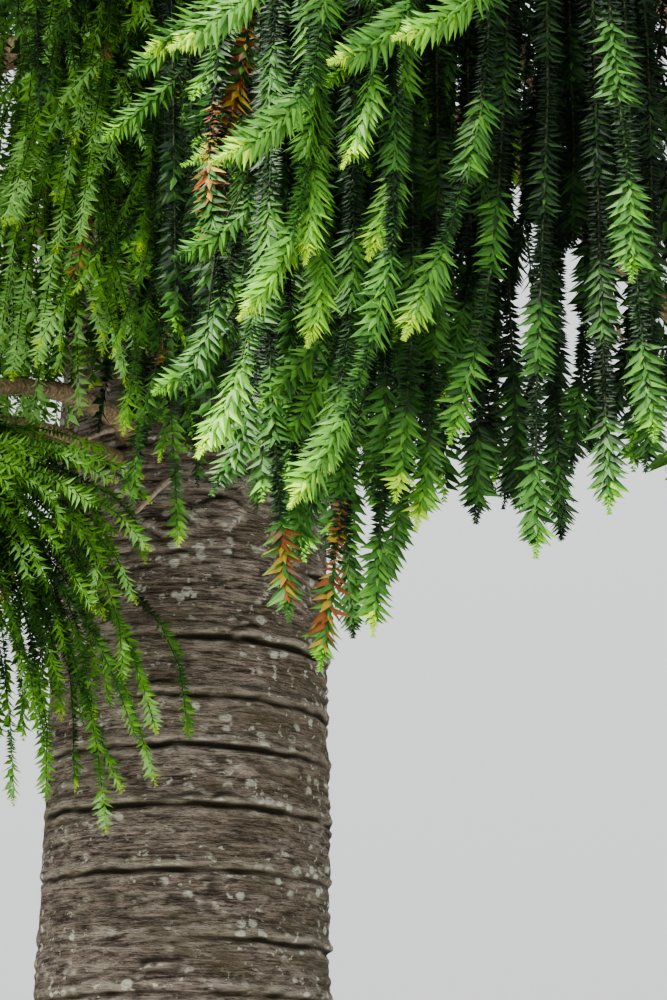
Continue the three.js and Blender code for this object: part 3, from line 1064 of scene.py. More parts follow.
WHORLS = (
    Whorl("skirt", 3.95, 5, -112, -200, Habit(2.6, 0.30, 0.62, 0, 0.034, 0.40, 4, 0.62, 1.05, 0.92)),
    Whorl("low", 5.9, 6, -84.5, 360, Habit(6.0, 0.10, 1.29, 0.78, 0.058, 0.46, 8, 1.3, 1.40, 0.86)),
    Whorl("middle", 8.3, 6, -54.5, 360, Habit(6.45, 0.12, 0.75, 0.35, 0.062, 0.46, 8, 1.4, 1.4, 0.72)),
    Whorl("shoulder", 10.9, 5, -100, 360, Habit(6.05, 0.25, 0.55, 0.15, 0.06, 0.44, 8, 1.5, 1.35, 0.6)),
    Whorl("upper", 13.3, 4, -58, 360, Habit(4.9, 0.42, 0.42, 0.05, 0.052, 0.40, 8, 1.4, 1.25, 0.42)),
    Whorl("crown", 15.7, 3, -90, 360, Habit(3.3, 0.80, 0.35, 0, 0.042, 0.36, 8, 1.1, 1.00, 0.25)),
)


# Ropes of leaves


@dataclass
class Ropes:
    """Hanging ropes, which are leafy branchlets, as arrays with one row a rope.

    lines holds their points from root to tip, facing the direction that their flat side faces, roll where
    their spiral starts, flat how far their leaves lie in two ranks, tone how light their leaves are, mostly
    painted for the light and shade they hang in and partly at random, 0 for the darkest, fresh how many
    metres of the tip end are young, period the length of one year's growth, bare the share without leaves,
    full the metres from the tip after which the leaves are fewer and larger, and rust and rust_end the
    stretch of old leaves in metres from the tip.
    """

    lines: Array
    facing: Array
    roll: Array
    flat: Array
    tone: Array
    fresh: Array
    period: Array
    bare: Array
    full: Array
    rust: Array
    rust_end: Array

    NEVER = 9.0

    @classmethod
    def grown(cls, lines: Array, facing: Array, tone: Array, rng: np.random.Generator) -> "Ropes":
        """Ropes along lines, with all else drawn at random.

        Args:
            lines: The points of each rope.
            facing: The direction that each rope's flat side faces.
            tone: The light of each rope.
            rng: The source of random numbers.

        Returns:
            The ropes.
        """
        n = len(lines)
        rust = np.where(rng.random(n) < 0.05, rng.uniform(0.1, 0.6, n), cls.NEVER)
        return cls(
            lines=lines,
            facing=unit(facing),
            roll=rng.uniform(0, 2 * math.pi, n),
            flat=rng.uniform(0.2, 0.7, n),
            tone=np.clip(tone + rng.normal(0, 0.09, n), 0, 1),
            fresh=rng.uniform(0.05, 0.2, n),
            period=rng.uniform(0.17, 0.27, n),
            bare=rng.uniform(0.02, 0.08, n),
            full=np.full(n, cls.NEVER),
            rust=rust,
            rust_end=rust + rng.uniform(0.05, 0.2, n),
        )

    def __len__(self) -> int:
        """How many ropes there are."""
        return len(self.lines)

    def pick(self, rows: Array) -> "Ropes":
        """The ropes of those rows, given as numbers or as a mask."""
        return Ropes(*(getattr(self, column.name)[rows] for column in fields(self)))

    @staticmethod
    def join(batches: Sequence["Ropes"]) -> "Ropes":
        """One batch of several, whose lines have the same number of points."""
        names = [column.name for column in fields(Ropes)]
        return Ropes(*(np.concatenate([getattr(batch, name) for batch in batches]) for name in names))

    def lengths(self) -> Array:
        """The length of each rope."""
        return np.linalg.norm(np.diff(self.lines, axis=1), axis=2).sum(axis=1)

    def at(self, rope: Array, share: Array) -> tuple[Array, Array]:
        """Places on the ropes.

        Args:
            rope: The row of each place's rope.
            share: How far along it each place is, from 0 at the root to 1 at the tip.

        Returns:
            The places, and the unit directions towards the tip there.
        """
        last = self.lines.shape[1] - 1
        along = np.clip(share, 0, 1) * last
        cell = np.minimum(along.astype(int), last - 1)
        part = (along - cell)[:, None]
        ahead = np.gradient(self.lines, axis=1)
        place = blend(self.lines[rope, cell], self.lines[rope, cell + 1], part)
        return place, unit(blend(ahead[rope, cell], ahead[rope, cell + 1], part))


KITE_CORNERS = ((0, 0, 0), (-0.5, 0.22, 0), (0, 0.28, 1), (0.5, 0.22, 0), (0, 1, 0))
KITE_FACES = ((0, 3, 2), (0, 2, 1), (3, 4, 2), (2, 4, 1), (0, 1, 3), (1, 4, 3))
FOLDED_CORNERS = ((0, 0, 0), (-0.5, 0.30, -1), (0.5, 0.30, -1), (0, 1, 0))
FOLDED_FACES = ((0, 2, 3), (0, 3, 1))


@dataclass(frozen=True)
class LeafForm:
    """A leaf's own outline and how densely it stands on a rope.

    short and long are the leaf's lengths in the narrow and the wide zones of a rope, and lean_share how far
    it stands off. corners are across, along and out, in shares of the width, the length and the thickness.
    """

    short: float
    long: float
    per_metre: float
    width_share: float
    thick_share: float = 0.10
    curl: float = 0.13
    lean_share: float = 1.0
    corners: tuple[tuple[float, float, float], ...] = FOLDED_CORNERS
    faces: tuple[tuple[int, int, int], ...] = FOLDED_FACES


NEAR_LEAF = LeafForm(0.015, 0.034, 1320, 0.35, 0.055, 0.24, corners=KITE_CORNERS, faces=KITE_FACES)
BEHIND_LEAF = LeafForm(0.015, 0.033, 860, 0.37)
SHADE_LEAF = LeafForm(0.018, 0.038, 340, 0.42)
FINE_LEAF = LeafForm(0.022, 0.040, 320, 0.36)
DARK_LEAF = LeafForm(0.030, 0.056, 150, 0.46)
VIEW_LEAF = LeafForm(0.034, 0.068, 130, 0.36, lean_share=1.15)
CROWN_LEAF = LeafForm(0.120, 0.185, 24, 0.36, lean_share=0.78)


@dataclass(frozen=True)
class LeafGrowth:
    """How leaves stand on ropes: zones of long and short leaves, a bud at the tip, and their tints."""

    flush_peak: float = 0.074
    thinning: float = 0.35
    bunching: float = 0.50
    bud: float = 0.045
    bud_size: float = 0.38
    crowding: float = 0.022
    wide_lean: float = math.radians(57)
    narrow_lean: float = math.radians(80)
    lying: float = 0.62
    lean_scatter: float = 0.14
    aim_scatter: float = 0.075
    size_range: tuple[float, float] = (0.86, 1.12)
    front_size: float = 0.65
    narrow_width: float = 1.3
    sparse_every: int = 3
    sparse_size: float = 1.6
    bud_lean: float = math.radians(58)
    # The steps of painted light that divide the tints DEEP to PALE
    steps: tuple[float, ...] = (0.22, 0.44, 0.74, 1.10, 1.45)
    brightest: float = 0.98
    old_tints: tuple[tuple[float, float, Tint], ...] = (
        (0.0, 0.3, Tint.RUST),
        (0.3, 0.5, Tint.AMBER),
        (0.5, 0.62, Tint.DEAD),
    )

    def zone(self, from_tip: Array, period: Array) -> Array:
        """How wide the rope is at a distance from its tip: 1 in the middle of a zone of long leaves."""
        return ease(0.5 + 0.5 * np.cos(2 * math.pi * (from_tip - self.flush_peak) / period), 0.28, 0.74)

    def tints(
        self, ropes: Ropes, rope: Array, from_tip: Array, wide: Array, rng: np.random.Generator
    ) -> Array:
        """Deals out the tint of each leaf.

        Args:
            ropes: The ropes.
            rope: The row of each leaf's rope.
            from_tip: How far each leaf is from the rope's tip.
            wide: How wide the rope is there.
            rng: The source of random numbers.

        Returns:
            The tint of each leaf, as a number.
        """
        n = len(rope)
        tone, fresh = ropes.tone[rope], ropes.fresh[rope]
        young = np.clip(1.3 - 1.9 * from_tip / np.maximum(fresh, 0.01), 0, 1)
        # light paints light and shade on each leaf: the rope's tone, darker over its older upper part,
        # partly for age and partly as painted shade, lighter in wide zones and on young leaves
        older = ease(from_tip, 0.10, 0.50)
        light = tone * (1.04 - 0.50 * older) + 0.44 * (wide - 0.43) + 0.30 * young + rng.normal(0, 0.10, n)
        tint = np.digitize(light, self.steps)
        tint = np.where((young > 0.5) & (light > self.brightest), np.maximum(tint, int(Tint.BRIGHT)), tint)
        bud = (from_tip < self.bud * (0.3 + 0.7 * rng.random(n))) & (fresh > 0.05)
        # Buds are TIP on lighter ropes and a step darker, BRIGHT, on ropes painted in shade
        tint = np.where(bud, np.where(tone > 0.45, int(Tint.TIP), int(Tint.BRIGHT)), tint)
        old = (from_tip > ropes.rust[rope]) & (from_tip < ropes.rust_end[rope])
        draw = rng.random(n)
        for least, most, colour in self.old_tints:
            tint = np.where(old & (draw >= least) & (draw < most), int(colour), tint)
        return tint

    def grow(self, ropes: Ropes, form: LeafForm, seed: int) -> Shell:
        """Grows the leaves of many ropes.

        Args:
            ropes: The ropes.
            form: The leaf.
            seed: The seed of the random numbers.

        Returns:
            One shell, with the leaf's tint as each triangle's slot.
        """
        rng = np.random.default_rng(seed)
        length = ropes.lengths()
        leafy = length * (1 - ropes.bare)
        count = np.maximum((leafy * form.per_metre).astype(int), 3)
        rope = np.repeat(np.arange(len(ropes)), count)
        order = np.arange(len(rope)) - np.repeat(np.cumsum(count) - count, count)
        even = (order + 0.35) / form.per_metre
        sparse = even > ropes.full[rope]
        kept = ~sparse | (order % self.sparse_every == 0)
        rope, order, even, sparse = rope[kept], order[kept], even[kept], sparse[kept]
        period = ropes.period[rope]
        turn = 2 * math.pi / period
        sway = np.sin(turn * (even - self.flush_peak)) + np.sin(turn * self.flush_peak)
        crowded = even * even / (even + self.crowding)
        from_tip = np.clip(crowded + self.bunching / turn * sway, 0, leafy[rope])
        wide = self.zone(from_tip, period) * (1 - self.thinning * ease(from_tip, 0.25, 0.60))
        grown = np.clip(from_tip / self.bud, 0, 1)
        place, ahead = ropes.at(rope, 1 - from_tip / length[rope])
        side = unit(np.cross(ahead, ropes.facing[rope]))
        front = np.cross(side, ahead)
        flat = ropes.flat[rope]
        roll = order * GOLDEN_ANGLE + ropes.roll[rope]
        roll = roll - flat * 0.5 * np.sin(2 * roll)
        radial = side * np.cos(roll)[:, None] + front * np.sin(roll)[:, None]
        lean = blend(self.narrow_lean, self.wide_lean, wide) + rng.normal(0, self.lean_scatter, len(rope))
        in_front = np.clip(np.sin(roll), 0, 1) ** 2
        lean = lean - self.lying * in_front
        lean = form.lean_share * blend(self.bud_lean, lean, grown)[:, None]
        stray = rng.normal(0, self.aim_scatter, (len(rope), 3))
        pointing = unit(ahead * np.cos(lean) + radial * np.sin(lean) + stray)
        back = unit((ahead * pointing).sum(axis=1, keepdims=True) * pointing - ahead)
        twist = ((0.45 + 0.5 * flat) * np.cos(roll) ** 2)[:, None]
        out = unit(back * (1 - 0.8 * twist) + front * twist)
        out = unit(out - (out * pointing).sum(axis=1, keepdims=True) * pointing)
        across = np.cross(pointing, out)
        size = blend(form.short, form.long, wide) * rng.uniform(*self.size_range, len(rope))
        size = size * blend(self.bud_size, 1.0, grown) * (1 - (1 - self.front_size) * in_front)
        size = np.where(sparse, size * self.sparse_size, size)
        wider = form.width_share * blend(self.narrow_width, 1.0, wide)
        local = np.array(form.corners)
        raised = local[None, :, 2:] * form.thick_share - form.curl * local[None, :, 1:2] ** 2
        leaf = local[None, :, :1] * wider[:, None, None] * across[:, None]
        leaf = leaf + local[None, :, 1:2] * pointing[:, None] + raised * out[:, None]
        points = place[:, None] + size[:, None, None] * leaf
        faces = np.array(form.faces)[None] + (np.arange(len(rope)) * len(local))[:, None, None]
        tint = self.tints(ropes, rope, from_tip, wide, rng)
        return Shell(points.reshape(-1, 3), faces.reshape(-1, 3), np.repeat(tint, len(form.faces)))


# The ropes that the photograph shows


@dataclass(frozen=True)
class ShownRope:
    """A rope that the photograph shows, away metres off, by four pixels of its route from top to tip."""

    away: float
    route: tuple[tuple[float, float], ...]
    # How light its leaves are painted for the light and shade in which it hangs, above 1 where they are
    # brightly lit
    tone: float = 0.5
    fresh: float = 0.12
    flat: float = 0.65
    rust: float = Ropes.NEVER
    rust_end: float = Ropes.NEVER
    period: float = 0.21


@dataclass(frozen=True)
class Drape:
    """A mass of hanging ropes: the chosen ones, and many more between and behind them.

    carriers are the labels of the boughs that carry them, and mass is the solid that they stand for. behind
    is how many metres farther away the others hang. In pixels, shorter is how much higher they end at most,
    sideways and swing how far they stray, hook how far their tips bend to the left, and shade the stretch
    over which they darken as painted shade. dim and fade lower their tone as painted shade, dim the more the
    farther back they hang. loose turns their flat sides about, fine_above is the least tone of a chosen rope
    with guide_leaf, carried_from the share of a bough after which it carries ropes, and shortest the least
    share of its route that a rope has.
    """

    name: str
    carriers: tuple[str, ...]
    mass: str
    guides: tuple[ShownRope, ...]
    guide_leaf: LeafForm
    filling: int
    filling_leaf: LeafForm
    behind: tuple[float, float]
    shorter: float
    sideways: float
    dim: float
    shade: tuple[float, float] = (9000, 9100)
    swing: float = 8.0
    hook: float = 0.0
    fade: float = 1.0
    loose: float = 0.35
    fine_above: float = 0.5
    carried_from: float = 0.3
    shortest: float = 1.0

    POINTS = 20
    FRAME_TOP = -40

    def carried(self, shown: Array, carriers: Array) -> Array:
        """A rope's whole line: from the bough that carries it, over to its shown part, and down it.

        Args:
            shown: The points of the shown part, from its top to its tip.
            carriers: Points along the boughs that may carry it.

        Returns:
            The line, with an even step.
        """
        top = shown[0]
        gap = carriers - top
        cost = np.linalg.norm(gap * LEVEL, axis=1) + np.where(gap[:, 2] < 0, 2.0, 0.25 * np.abs(gap[:, 2]))
        root = carriers[np.argmin(cost)]
        if root[2] < top[2] + 0.1:
            return smooth_line(np.vstack([root, shown]), self.POINTS)
        over = blend(root, top, 0.55) * LEVEL + UP * max(root[2] + 0.02, top[2] + 0.12)
        drop = blend(over, top, 0.92) * LEVEL + UP * blend(over[2], top[2], 0.6)
        return smooth_line(np.vstack([root, over, drop, shown]), self.POINTS)

    def finish(
        self, eye: Eye, routes: Array, away: Array, carriers: Array, rng: np.random.Generator
    ) -> Ropes:
        """Makes ropes of routes in the photograph.

        Args:
            eye: The photograph's view.
            routes: The pixels of each rope.
            away: Each rope's distance.
            carriers: Points along the boughs that may carry them.
            rng: The source of random numbers.

        Returns:
            The ropes.
        """
        lines = np.array([self.carried(eye.spots(r, a), carriers) for r, a in zip(routes, away)])
        towards = unit((np.array(eye.place) - lines[:, -1]) * LEVEL)
        facing = towards + rng.normal(0, self.loose, lines[:, -1].shape)
        return Ropes.grown(lines, facing, np.full(len(lines), 0.5), rng)

    def framed(self, eye: Eye, ropes: Ropes) -> Array:
        """How far up from its tip each rope hangs inside the photograph's frame."""
        inside = eye.pixels(ropes.lines)[1] > self.FRAME_TOP
        return ropes.lengths() * np.clip(inside.mean(axis=1) + 0.04, 0, 1)

    def cut(self, eye: Eye, lines: Array, rng: np.random.Generator) -> Array:
        """Ends about half of the lines that meet a gap that shows the sky, where they come to it."""
        inside = View.any_holds(SKY_GAPS, *eye.pixels(lines))
        made = lines.copy()
        for i in np.flatnonzero(inside.any(axis=1) & (rng.random(len(lines)) < 0.5)):
            made[i] = smooth_line(lines[i][: max(int(np.argmax(inside[i])), 4)], self.POINTS)
        return made

    def column(self, name: str) -> Array:
        """One value of every chosen rope."""
        return np.array([getattr(rope, name) for rope in self.guides], dtype=float)

    def chosen(self, eye: Eye, carriers: Array, rng: np.random.Generator) -> Ropes:
        """The chosen ropes."""
        ropes = self.finish(eye, self.column("route"), self.column("away"), carriers, rng)
        for name in ("tone", "fresh", "flat", "rust", "rust_end", "period"):
            setattr(ropes, name, self.column(name))
        ropes.full = self.framed(eye, ropes)
        return ropes

    def filled(self, eye: Eye, carriers: Array, rng: np.random.Generator) -> Ropes:
        """The ropes between and behind the chosen ones, each a mix of two neighbours, ending higher up."""
        routes, away, tone = (self.column(name) for name in ("route", "away", "tone"))
        n = self.filling
        spot = (np.arange(n) + rng.random(n)) / n * (len(self.guides) - 1)
        first = spot.astype(int)
        share = (spot - first)[:, None, None]
        mixed = blend(routes[first], routes[first + 1], share)
        mixed[..., 0] += rng.normal(0, self.sideways, (n, 1)) + rng.normal(0, self.sideways * 0.4, (n, 4))
        mixed[..., 0] += rng.normal(0, self.swing, (n, 1)) * np.array([-1.0, -0.4, 0.3, 1.0])
        mixed[..., 0] -= rng.random((n, 1)) * self.hook * np.array([0.0, 0.0, 0.15, 1.0])
        mixed[..., 1] -= (rng.random(n) ** 1.3 * self.shorter)[:, None]
        mixed = blend(mixed[:, :1], mixed, blend(self.shortest, 1.0, rng.random((n, 1, 1))))
        depth = blend(self.behind[0], self.behind[1], rng.random(n))
        mean = blend(away[first], away[first + 1], share[:, 0, 0])
        ropes = self.finish(eye, mixed, mean + depth, carriers, rng)
        ropes.lines = self.cut(eye, ropes.lines, rng)
        ropes.full = self.framed(eye, ropes)
        # Painted shade: the filling darkens across the shade stretch and the farther back it hangs, and fade
        # lowers it throughout
        shaded = ease(mixed[:, -1, 0], *self.shade)
        farther = (depth - self.behind[0]) / (self.behind[1] - self.behind[0])
        light = blend(tone[first], tone[first + 1], share[:, 0, 0]) * self.fade - self.dim * farther
        ropes.tone = np.clip(light * (1 - 0.88 * shaded) + rng.normal(0, 0.08, n), 0.02, 2.0)
        ropes.fresh = np.where(rng.random(n) < 0.5 - 0.3 * shaded, ropes.fresh * 0.8, 0.0)
        ropes.bare = np.zeros(n)
        return ropes


FRONT = Drape(
    name="front",
    carriers=("low_1",),
    mass="foliage_low_1",
    guides=(
        ShownRope(2.90, ((236, -90), (208, 190), (222, 290), (182, 388)), 0.37, 0.05, 0.5, 0.28, 0.42),
        ShownRope(2.50, ((300, -60), (268, -20), (226, 14), (170, 48)), 0.60, 0.10),
        ShownRope(2.92, ((262, -90), (240, 80), (212, 190), (216, 262)), 0.31, 0.00, 0.7, 0.02, 0.42),
        ShownRope(2.66, ((268, 240), (252, 330), (230, 400), (197, 456)), 0.72, 0.15),
        ShownRope(2.74, ((262, 300), (250, 400), (236, 450), (212, 494)), 0.39, 0.04, 0.6),
        ShownRope(2.56, ((322, 30), (304, 90), (272, 130), (220, 158)), 0.58, 0.11),
        ShownRope(2.62, ((312, 110), (300, 200), (278, 270), (240, 318)), 0.74, 0.16, 0.2),
        ShownRope(2.82, ((268, 300), (276, 460), (283, 550), (289, 620)), 0.44, 0.05, 0.4, 0.03, 0.12),
        ShownRope(2.88, ((286, 160), (292, 330), (296, 430), (300, 560)), 0.39, 0.04, 0.45),
        ShownRope(2.64, ((306, -40), (314, 110), (312, 200), (305, 262)), 0.70, 0.16, 0.2),
        ShownRope(2.68, ((318, 120), (322, 230), (320, 300), (308, 345)), 0.67, 0.15, 0.3),
        ShownRope(2.80, ((352, 300), (342, 380), (330, 430), (316, 480)), 0.52, 0.12, 0.4),
        ShownRope(2.86, ((350, 260), (345, 430), (336, 560), (320, 670)), 0.41, 0.06, 0.4, 0.04, 0.22),
        ShownRope(2.64, ((392, 240), (368, 350), (338, 430), (291, 506)), 0.62, 0.13, 0.4),
        ShownRope(2.60, ((372, -40), (374, 60), (362, 125), (342, 166)), 0.60, 0.14, 0.3),
        ShownRope(2.95, ((352, -90), (350, 100), (352, 240), (348, 372)), 0.39, 0.05),
        ShownRope(2.56, ((430, -60), (404, 15), (374, 46), (330, 62)), 0.52, 0.08),
        ShownRope(2.88, ((380, 200), (386, 380), (380, 540), (373, 635)), 0.46, 0.09, 0.6),
        ShownRope(2.70, ((408, -90), (404, 60), (398, 170), (368, 258)), 0.71, 0.13, 0.45),
        ShownRope(2.86, ((412, 160), (412, 320), (406, 420), (396, 500)), 0.46, 0.10),
        ShownRope(2.52, ((500, -60), (478, -10), (444, 20), (394, 38)), 0.64, 0.14),
        ShownRope(2.72, ((490, -90), (484, 90), (452, 220), (404, 338)), 0.55, 0.14, 0.55),
        ShownRope(2.90, ((438, 200), (434, 350), (430, 440), (416, 528)), 0.46, 0.14),
        ShownRope(2.78, ((510, -90), (502, 130), (488, 290), (450, 442)), 0.44, 0.10, 0.55),
        ShownRope(2.98, ((470, 200), (476, 340), (478, 440), (476, 522)), 0.24, 0.02, 0.8),
        ShownRope(3.10, ((500, -90), (504, 180), (512, 350), (520, 505)), 0.12, 0.00, 0.8, period=0.6),
        ShownRope(2.80, ((548, 60), (541, 270), (536, 420), (536, 556)), 0.29, 0.08),
        ShownRope(3.15, ((552, -90), (556, 180), (558, 340), (556, 500)), 0.10, 0.00, 0.8, period=0.6),
        ShownRope(3.00, ((566, -90), (571, 60), (574, 160), (573, 246)), 0.08, 0.00, 0.7),
        ShownRope(3.05, ((586, -90), (588, 150), (588, 300), (572, 470)), 0.18, 0.00, 0.7),
        ShownRope(2.82, ((592, -20), (598, 200), (604, 380), (609, 512)), 0.27, 0.07),
        ShownRope(2.60, ((604, -90), (614, 60), (628, 170), (632, 280)), 0.45, 0.08, 0.5),
        ShownRope(2.76, ((628, 90), (636, 260), (642, 350), (655, 440)), 0.36, 0.08),
        ShownRope(2.95, ((650, 120), (652, 290), (650, 400), (646, 470)), 0.26, 0.05),
        ShownRope(2.90, ((700, -60), (704, 120), (706, 290), (704, 430)), 0.30, 0.10),
    ),
    guide_leaf=NEAR_LEAF, filling=78, filling_leaf=BEHIND_LEAF,
    behind=(0.12, 0.55), shorter=190, sideways=9, dim=0.08, shade=(400, 540), fade=0.84, swing=14, hook=36,
)
SHADE = Drape(
    name="shade",
    carriers=("low_1", "right_shade"),
    mass="foliage_low_1",
    guides=(
        ShownRope(3.6, ((170, -140), (172, 0), (174, 160), (176, 330)), 0.14),
        ShownRope(3.5, ((215, -140), (214, 60), (212, 240), (210, 440)), 0.16),
        ShownRope(3.5, ((260, -140), (262, 100), (262, 300), (262, 500)), 0.22),
        ShownRope(3.4, ((300, -140), (302, 120), (304, 340), (304, 560)), 0.26),
        ShownRope(3.4, ((345, -140), (346, 100), (350, 340), (350, 560)), 0.28),
        ShownRope(3.4, ((390, -140), (392, 60), (394, 300), (394, 520)), 0.22),
        ShownRope(3.4, ((440, -140), (440, 60), (442, 280), (444, 500)), 0.14),
        ShownRope(3.4, ((500, -140), (498, 60), (496, 280), (496, 490)), 0.08),
        ShownRope(3.5, ((575, -140), (573, -20), (571, 90), (569, 212)), 0.06),
        ShownRope(3.5, ((640, -140), (638, 60), (636, 280), (634, 470)), 0.10),
        ShownRope(3.4, ((740, -140), (738, 60), (736, 280), (734, 440)), 0.14),
    ),
    guide_leaf=SHADE_LEAF, filling=120, filling_leaf=SHADE_LEAF,
    behind=(0.0, 1.5), shorter=330, sideways=14, dim=0.06, loose=0.6,
)
UPPER_LEFT = Drape(
    name="upper_left",
    carriers=("left_high", "centre_high", "low_1"),
    mass="foliage_skirt_1",
    guides=(
        ShownRope(6.3, ((-20, -120), (-50, 60), (-60, 240), (-56, 400)), 1.9, 0.2),
        ShownRope(6.2, ((60, -60), (44, 60), (16, 170), (-16, 290)), 2.0, 0.2),
        ShownRope(6.4, ((70, -40), (56, 110), (30, 250), (12, 380)), 1.9, 0.2),
        ShownRope(5.0, ((34, -120), (36, -20), (38, 50), (40, 112)), 0.12, 0.0),
        ShownRope(6.0, ((96, -40), (78, 110), (56, 240), (36, 366)), 1.7, 0.2),
        ShownRope(5.4, ((64, -120), (66, -60), (68, 0), (69, 56)), 0.18, 0.0),
        ShownRope(6.1, ((30, 20), (52, 150), (80, 250), (104, 340)), 1.6, 0.18),
        ShownRope(5.9, ((60, -120), (80, 0), (90, 70), (92, 134)), 1.6, 0.18),
        ShownRope(6.0, ((128, 10), (100, 130), (76, 230), (60, 350)), 1.6, 0.18),
        ShownRope(5.9, ((80, 60), (104, 200), (116, 300), (126, 386)), 1.4, 0.18),
        ShownRope(5.5, ((80, -90), (120, -20), (156, 36), (178, 100)), 1.4, 0.16),
        ShownRope(5.8, ((170, -60), (150, 20), (130, 100), (96, 176)), 1.4, 0.14),
        ShownRope(6.1, ((110, -20), (140, 120), (160, 240), (172, 352)), 1.0, 0.14),
        ShownRope(5.7, ((140, -100), (160, 40), (176, 140), (170, 226)), 1.3, 0.16),
        ShownRope(6.0, ((200, 40), (176, 200), (146, 310), (120, 424)), 0.80, 0.14),
        ShownRope(5.6, ((150, 120), (165, 330), (174, 450), (178, 546)), 0.66, 0.14),
        ShownRope(6.1, ((190, -100), (198, 80), (200, 260), (194, 412)), 0.40, 0.08),
        ShownRope(6.0, ((222, -100), (226, 60), (226, 220), (216, 400)), 0.10, 0.0),
        ShownRope(6.2, ((258, -100), (260, 60), (258, 220), (252, 390)), 0.08, 0.0),
        ShownRope(6.2, ((310, -100), (312, 60), (312, 220), (308, 380)), 0.08, 0.0),
    ),
    guide_leaf=FINE_LEAF, filling=130, filling_leaf=FINE_LEAF, swing=38,
    behind=(-0.5, 0.6), shorter=170, sideways=13, dim=0.30, shade=(150, 290), loose=0.9,
)
LEFT_SHADE = Drape(
    name="left_shade",
    carriers=("left_high", "centre_high"),
    mass="foliage_skirt_1",
    guides=(
        ShownRope(8.9, ((-40, -120), (-60, 60), (-66, 240), (-66, 540)), 1.7),
        ShownRope(8.9, ((20, -120), (6, 80), (-6, 240), (-10, 520)), 1.7),
        ShownRope(8.9, ((64, -120), (62, 80), (58, 250), (56, 500)), 1.5),
        ShownRope(7.0, ((-30, -120), (-60, 60), (-64, 230), (-60, 450)), 1.9),
        ShownRope(7.0, ((44, -120), (36, 80), (14, 230), (-6, 440)), 1.8),
        ShownRope(7.1, ((66, -120), (62, 80), (46, 250), (34, 436)), 1.4),
        ShownRope(7.1, ((110, -120), (112, 60), (108, 230), (90, 390)), 0.60),
        ShownRope(7.1, ((140, -120), (142, 60), (144, 260), (146, 430)), 0.06),
        ShownRope(7.1, ((180, -120), (182, 60), (184, 260), (186, 450)), 0.04),
        ShownRope(7.1, ((230, -120), (230, 60), (230, 260), (228, 440)), 0.03),
        ShownRope(7.1, ((280, -120), (280, 60), (280, 220), (278, 400)), 0.03),
        ShownRope(7.1, ((320, -120), (322, 60), (322, 200), (320, 380)), 0.03),
    ),
    guide_leaf=DARK_LEAF, filling=140, filling_leaf=DARK_LEAF, swing=20,
    behind=(-0.35, 0.2), shorter=120, sideways=14, dim=0.04, loose=0.8,
)
LOWER_LEFT = Drape(
    name="lower_left",
    carriers=("skirt_1", "under_pair"),
    mass="foliage_skirt_1",
    guides=(
        ShownRope(6.6, ((-96, 470), (-70, 580), (-62, 690), (-60, 800)), 1.0),
        ShownRope(6.7, ((-76, 480), (-16, 590), (8, 700), (14, 805)), 1.2, 0.14),
        ShownRope(7.0, ((-80, 470), (-30, 560), (-8, 650), (-2, 740)), 0.80),
        ShownRope(6.8, ((-70, 470), (4, 570), (20, 660), (24, 740)), 0.84),
        ShownRope(6.7, ((-60, 460), (14, 580), (38, 680), (46, 775)), 1.0, 0.14),
        ShownRope(6.7, ((-60, 460), (26, 560), (54, 650), (62, 720)), 0.76),
        ShownRope(6.6, ((-46, 460), (42, 590), (88, 700), (107, 832)), 1.1, 0.16),
        ShownRope(6.6, ((-40, 470), (58, 580), (122, 680), (156, 784)), 1.15, 0.16),
        ShownRope(6.7, ((-46, 460), (56, 550), (122, 630), (157, 733)), 1.2, 0.16),
        ShownRope(6.5, ((-40, 455), (56, 506), (110, 548), (137, 604)), 1.15, 0.16),
        ShownRope(6.4, ((-66, 460), (34, 478), (108, 506), (150, 550)), 1.15, 0.16),
        ShownRope(6.5, ((-76, 458), (-6, 450), (60, 456), (116, 482)), 1.2, 0.16),
        ShownRope(6.5, ((-70, 452), (-20, 440), (30, 440), (84, 462)), 1.2, 0.14),
    ),
    guide_leaf=FINE_LEAF, filling=124, filling_leaf=FINE_LEAF, swing=16,
    behind=(-0.35, 0.45), shorter=30, sideways=18, dim=0.55, loose=0.8, carried_from=0.6, shortest=0.2,
)
DRAPES = (FRONT, SHADE, UPPER_LEFT, LEFT_SHADE, LOWER_LEFT)


# The crown


@dataclass(frozen=True)
class Stub:
    """A thin dead stub, from the pixel where it leaves the bark to the pixel of its tip."""

    root: tuple[float, float]
    tip: tuple[float, float]
    outward: float = 0.30
    thickness: float = 0.015


STUBS = (
    Stub((192, 457), (137, 511)),
    Stub((126, 530), (80, 543), 0.30, 0.013),
    Stub((62, 546), (40, 566), 0.25, 0.011),
    Stub((128, 424), (89, 438), 0.30, 0.014),
)


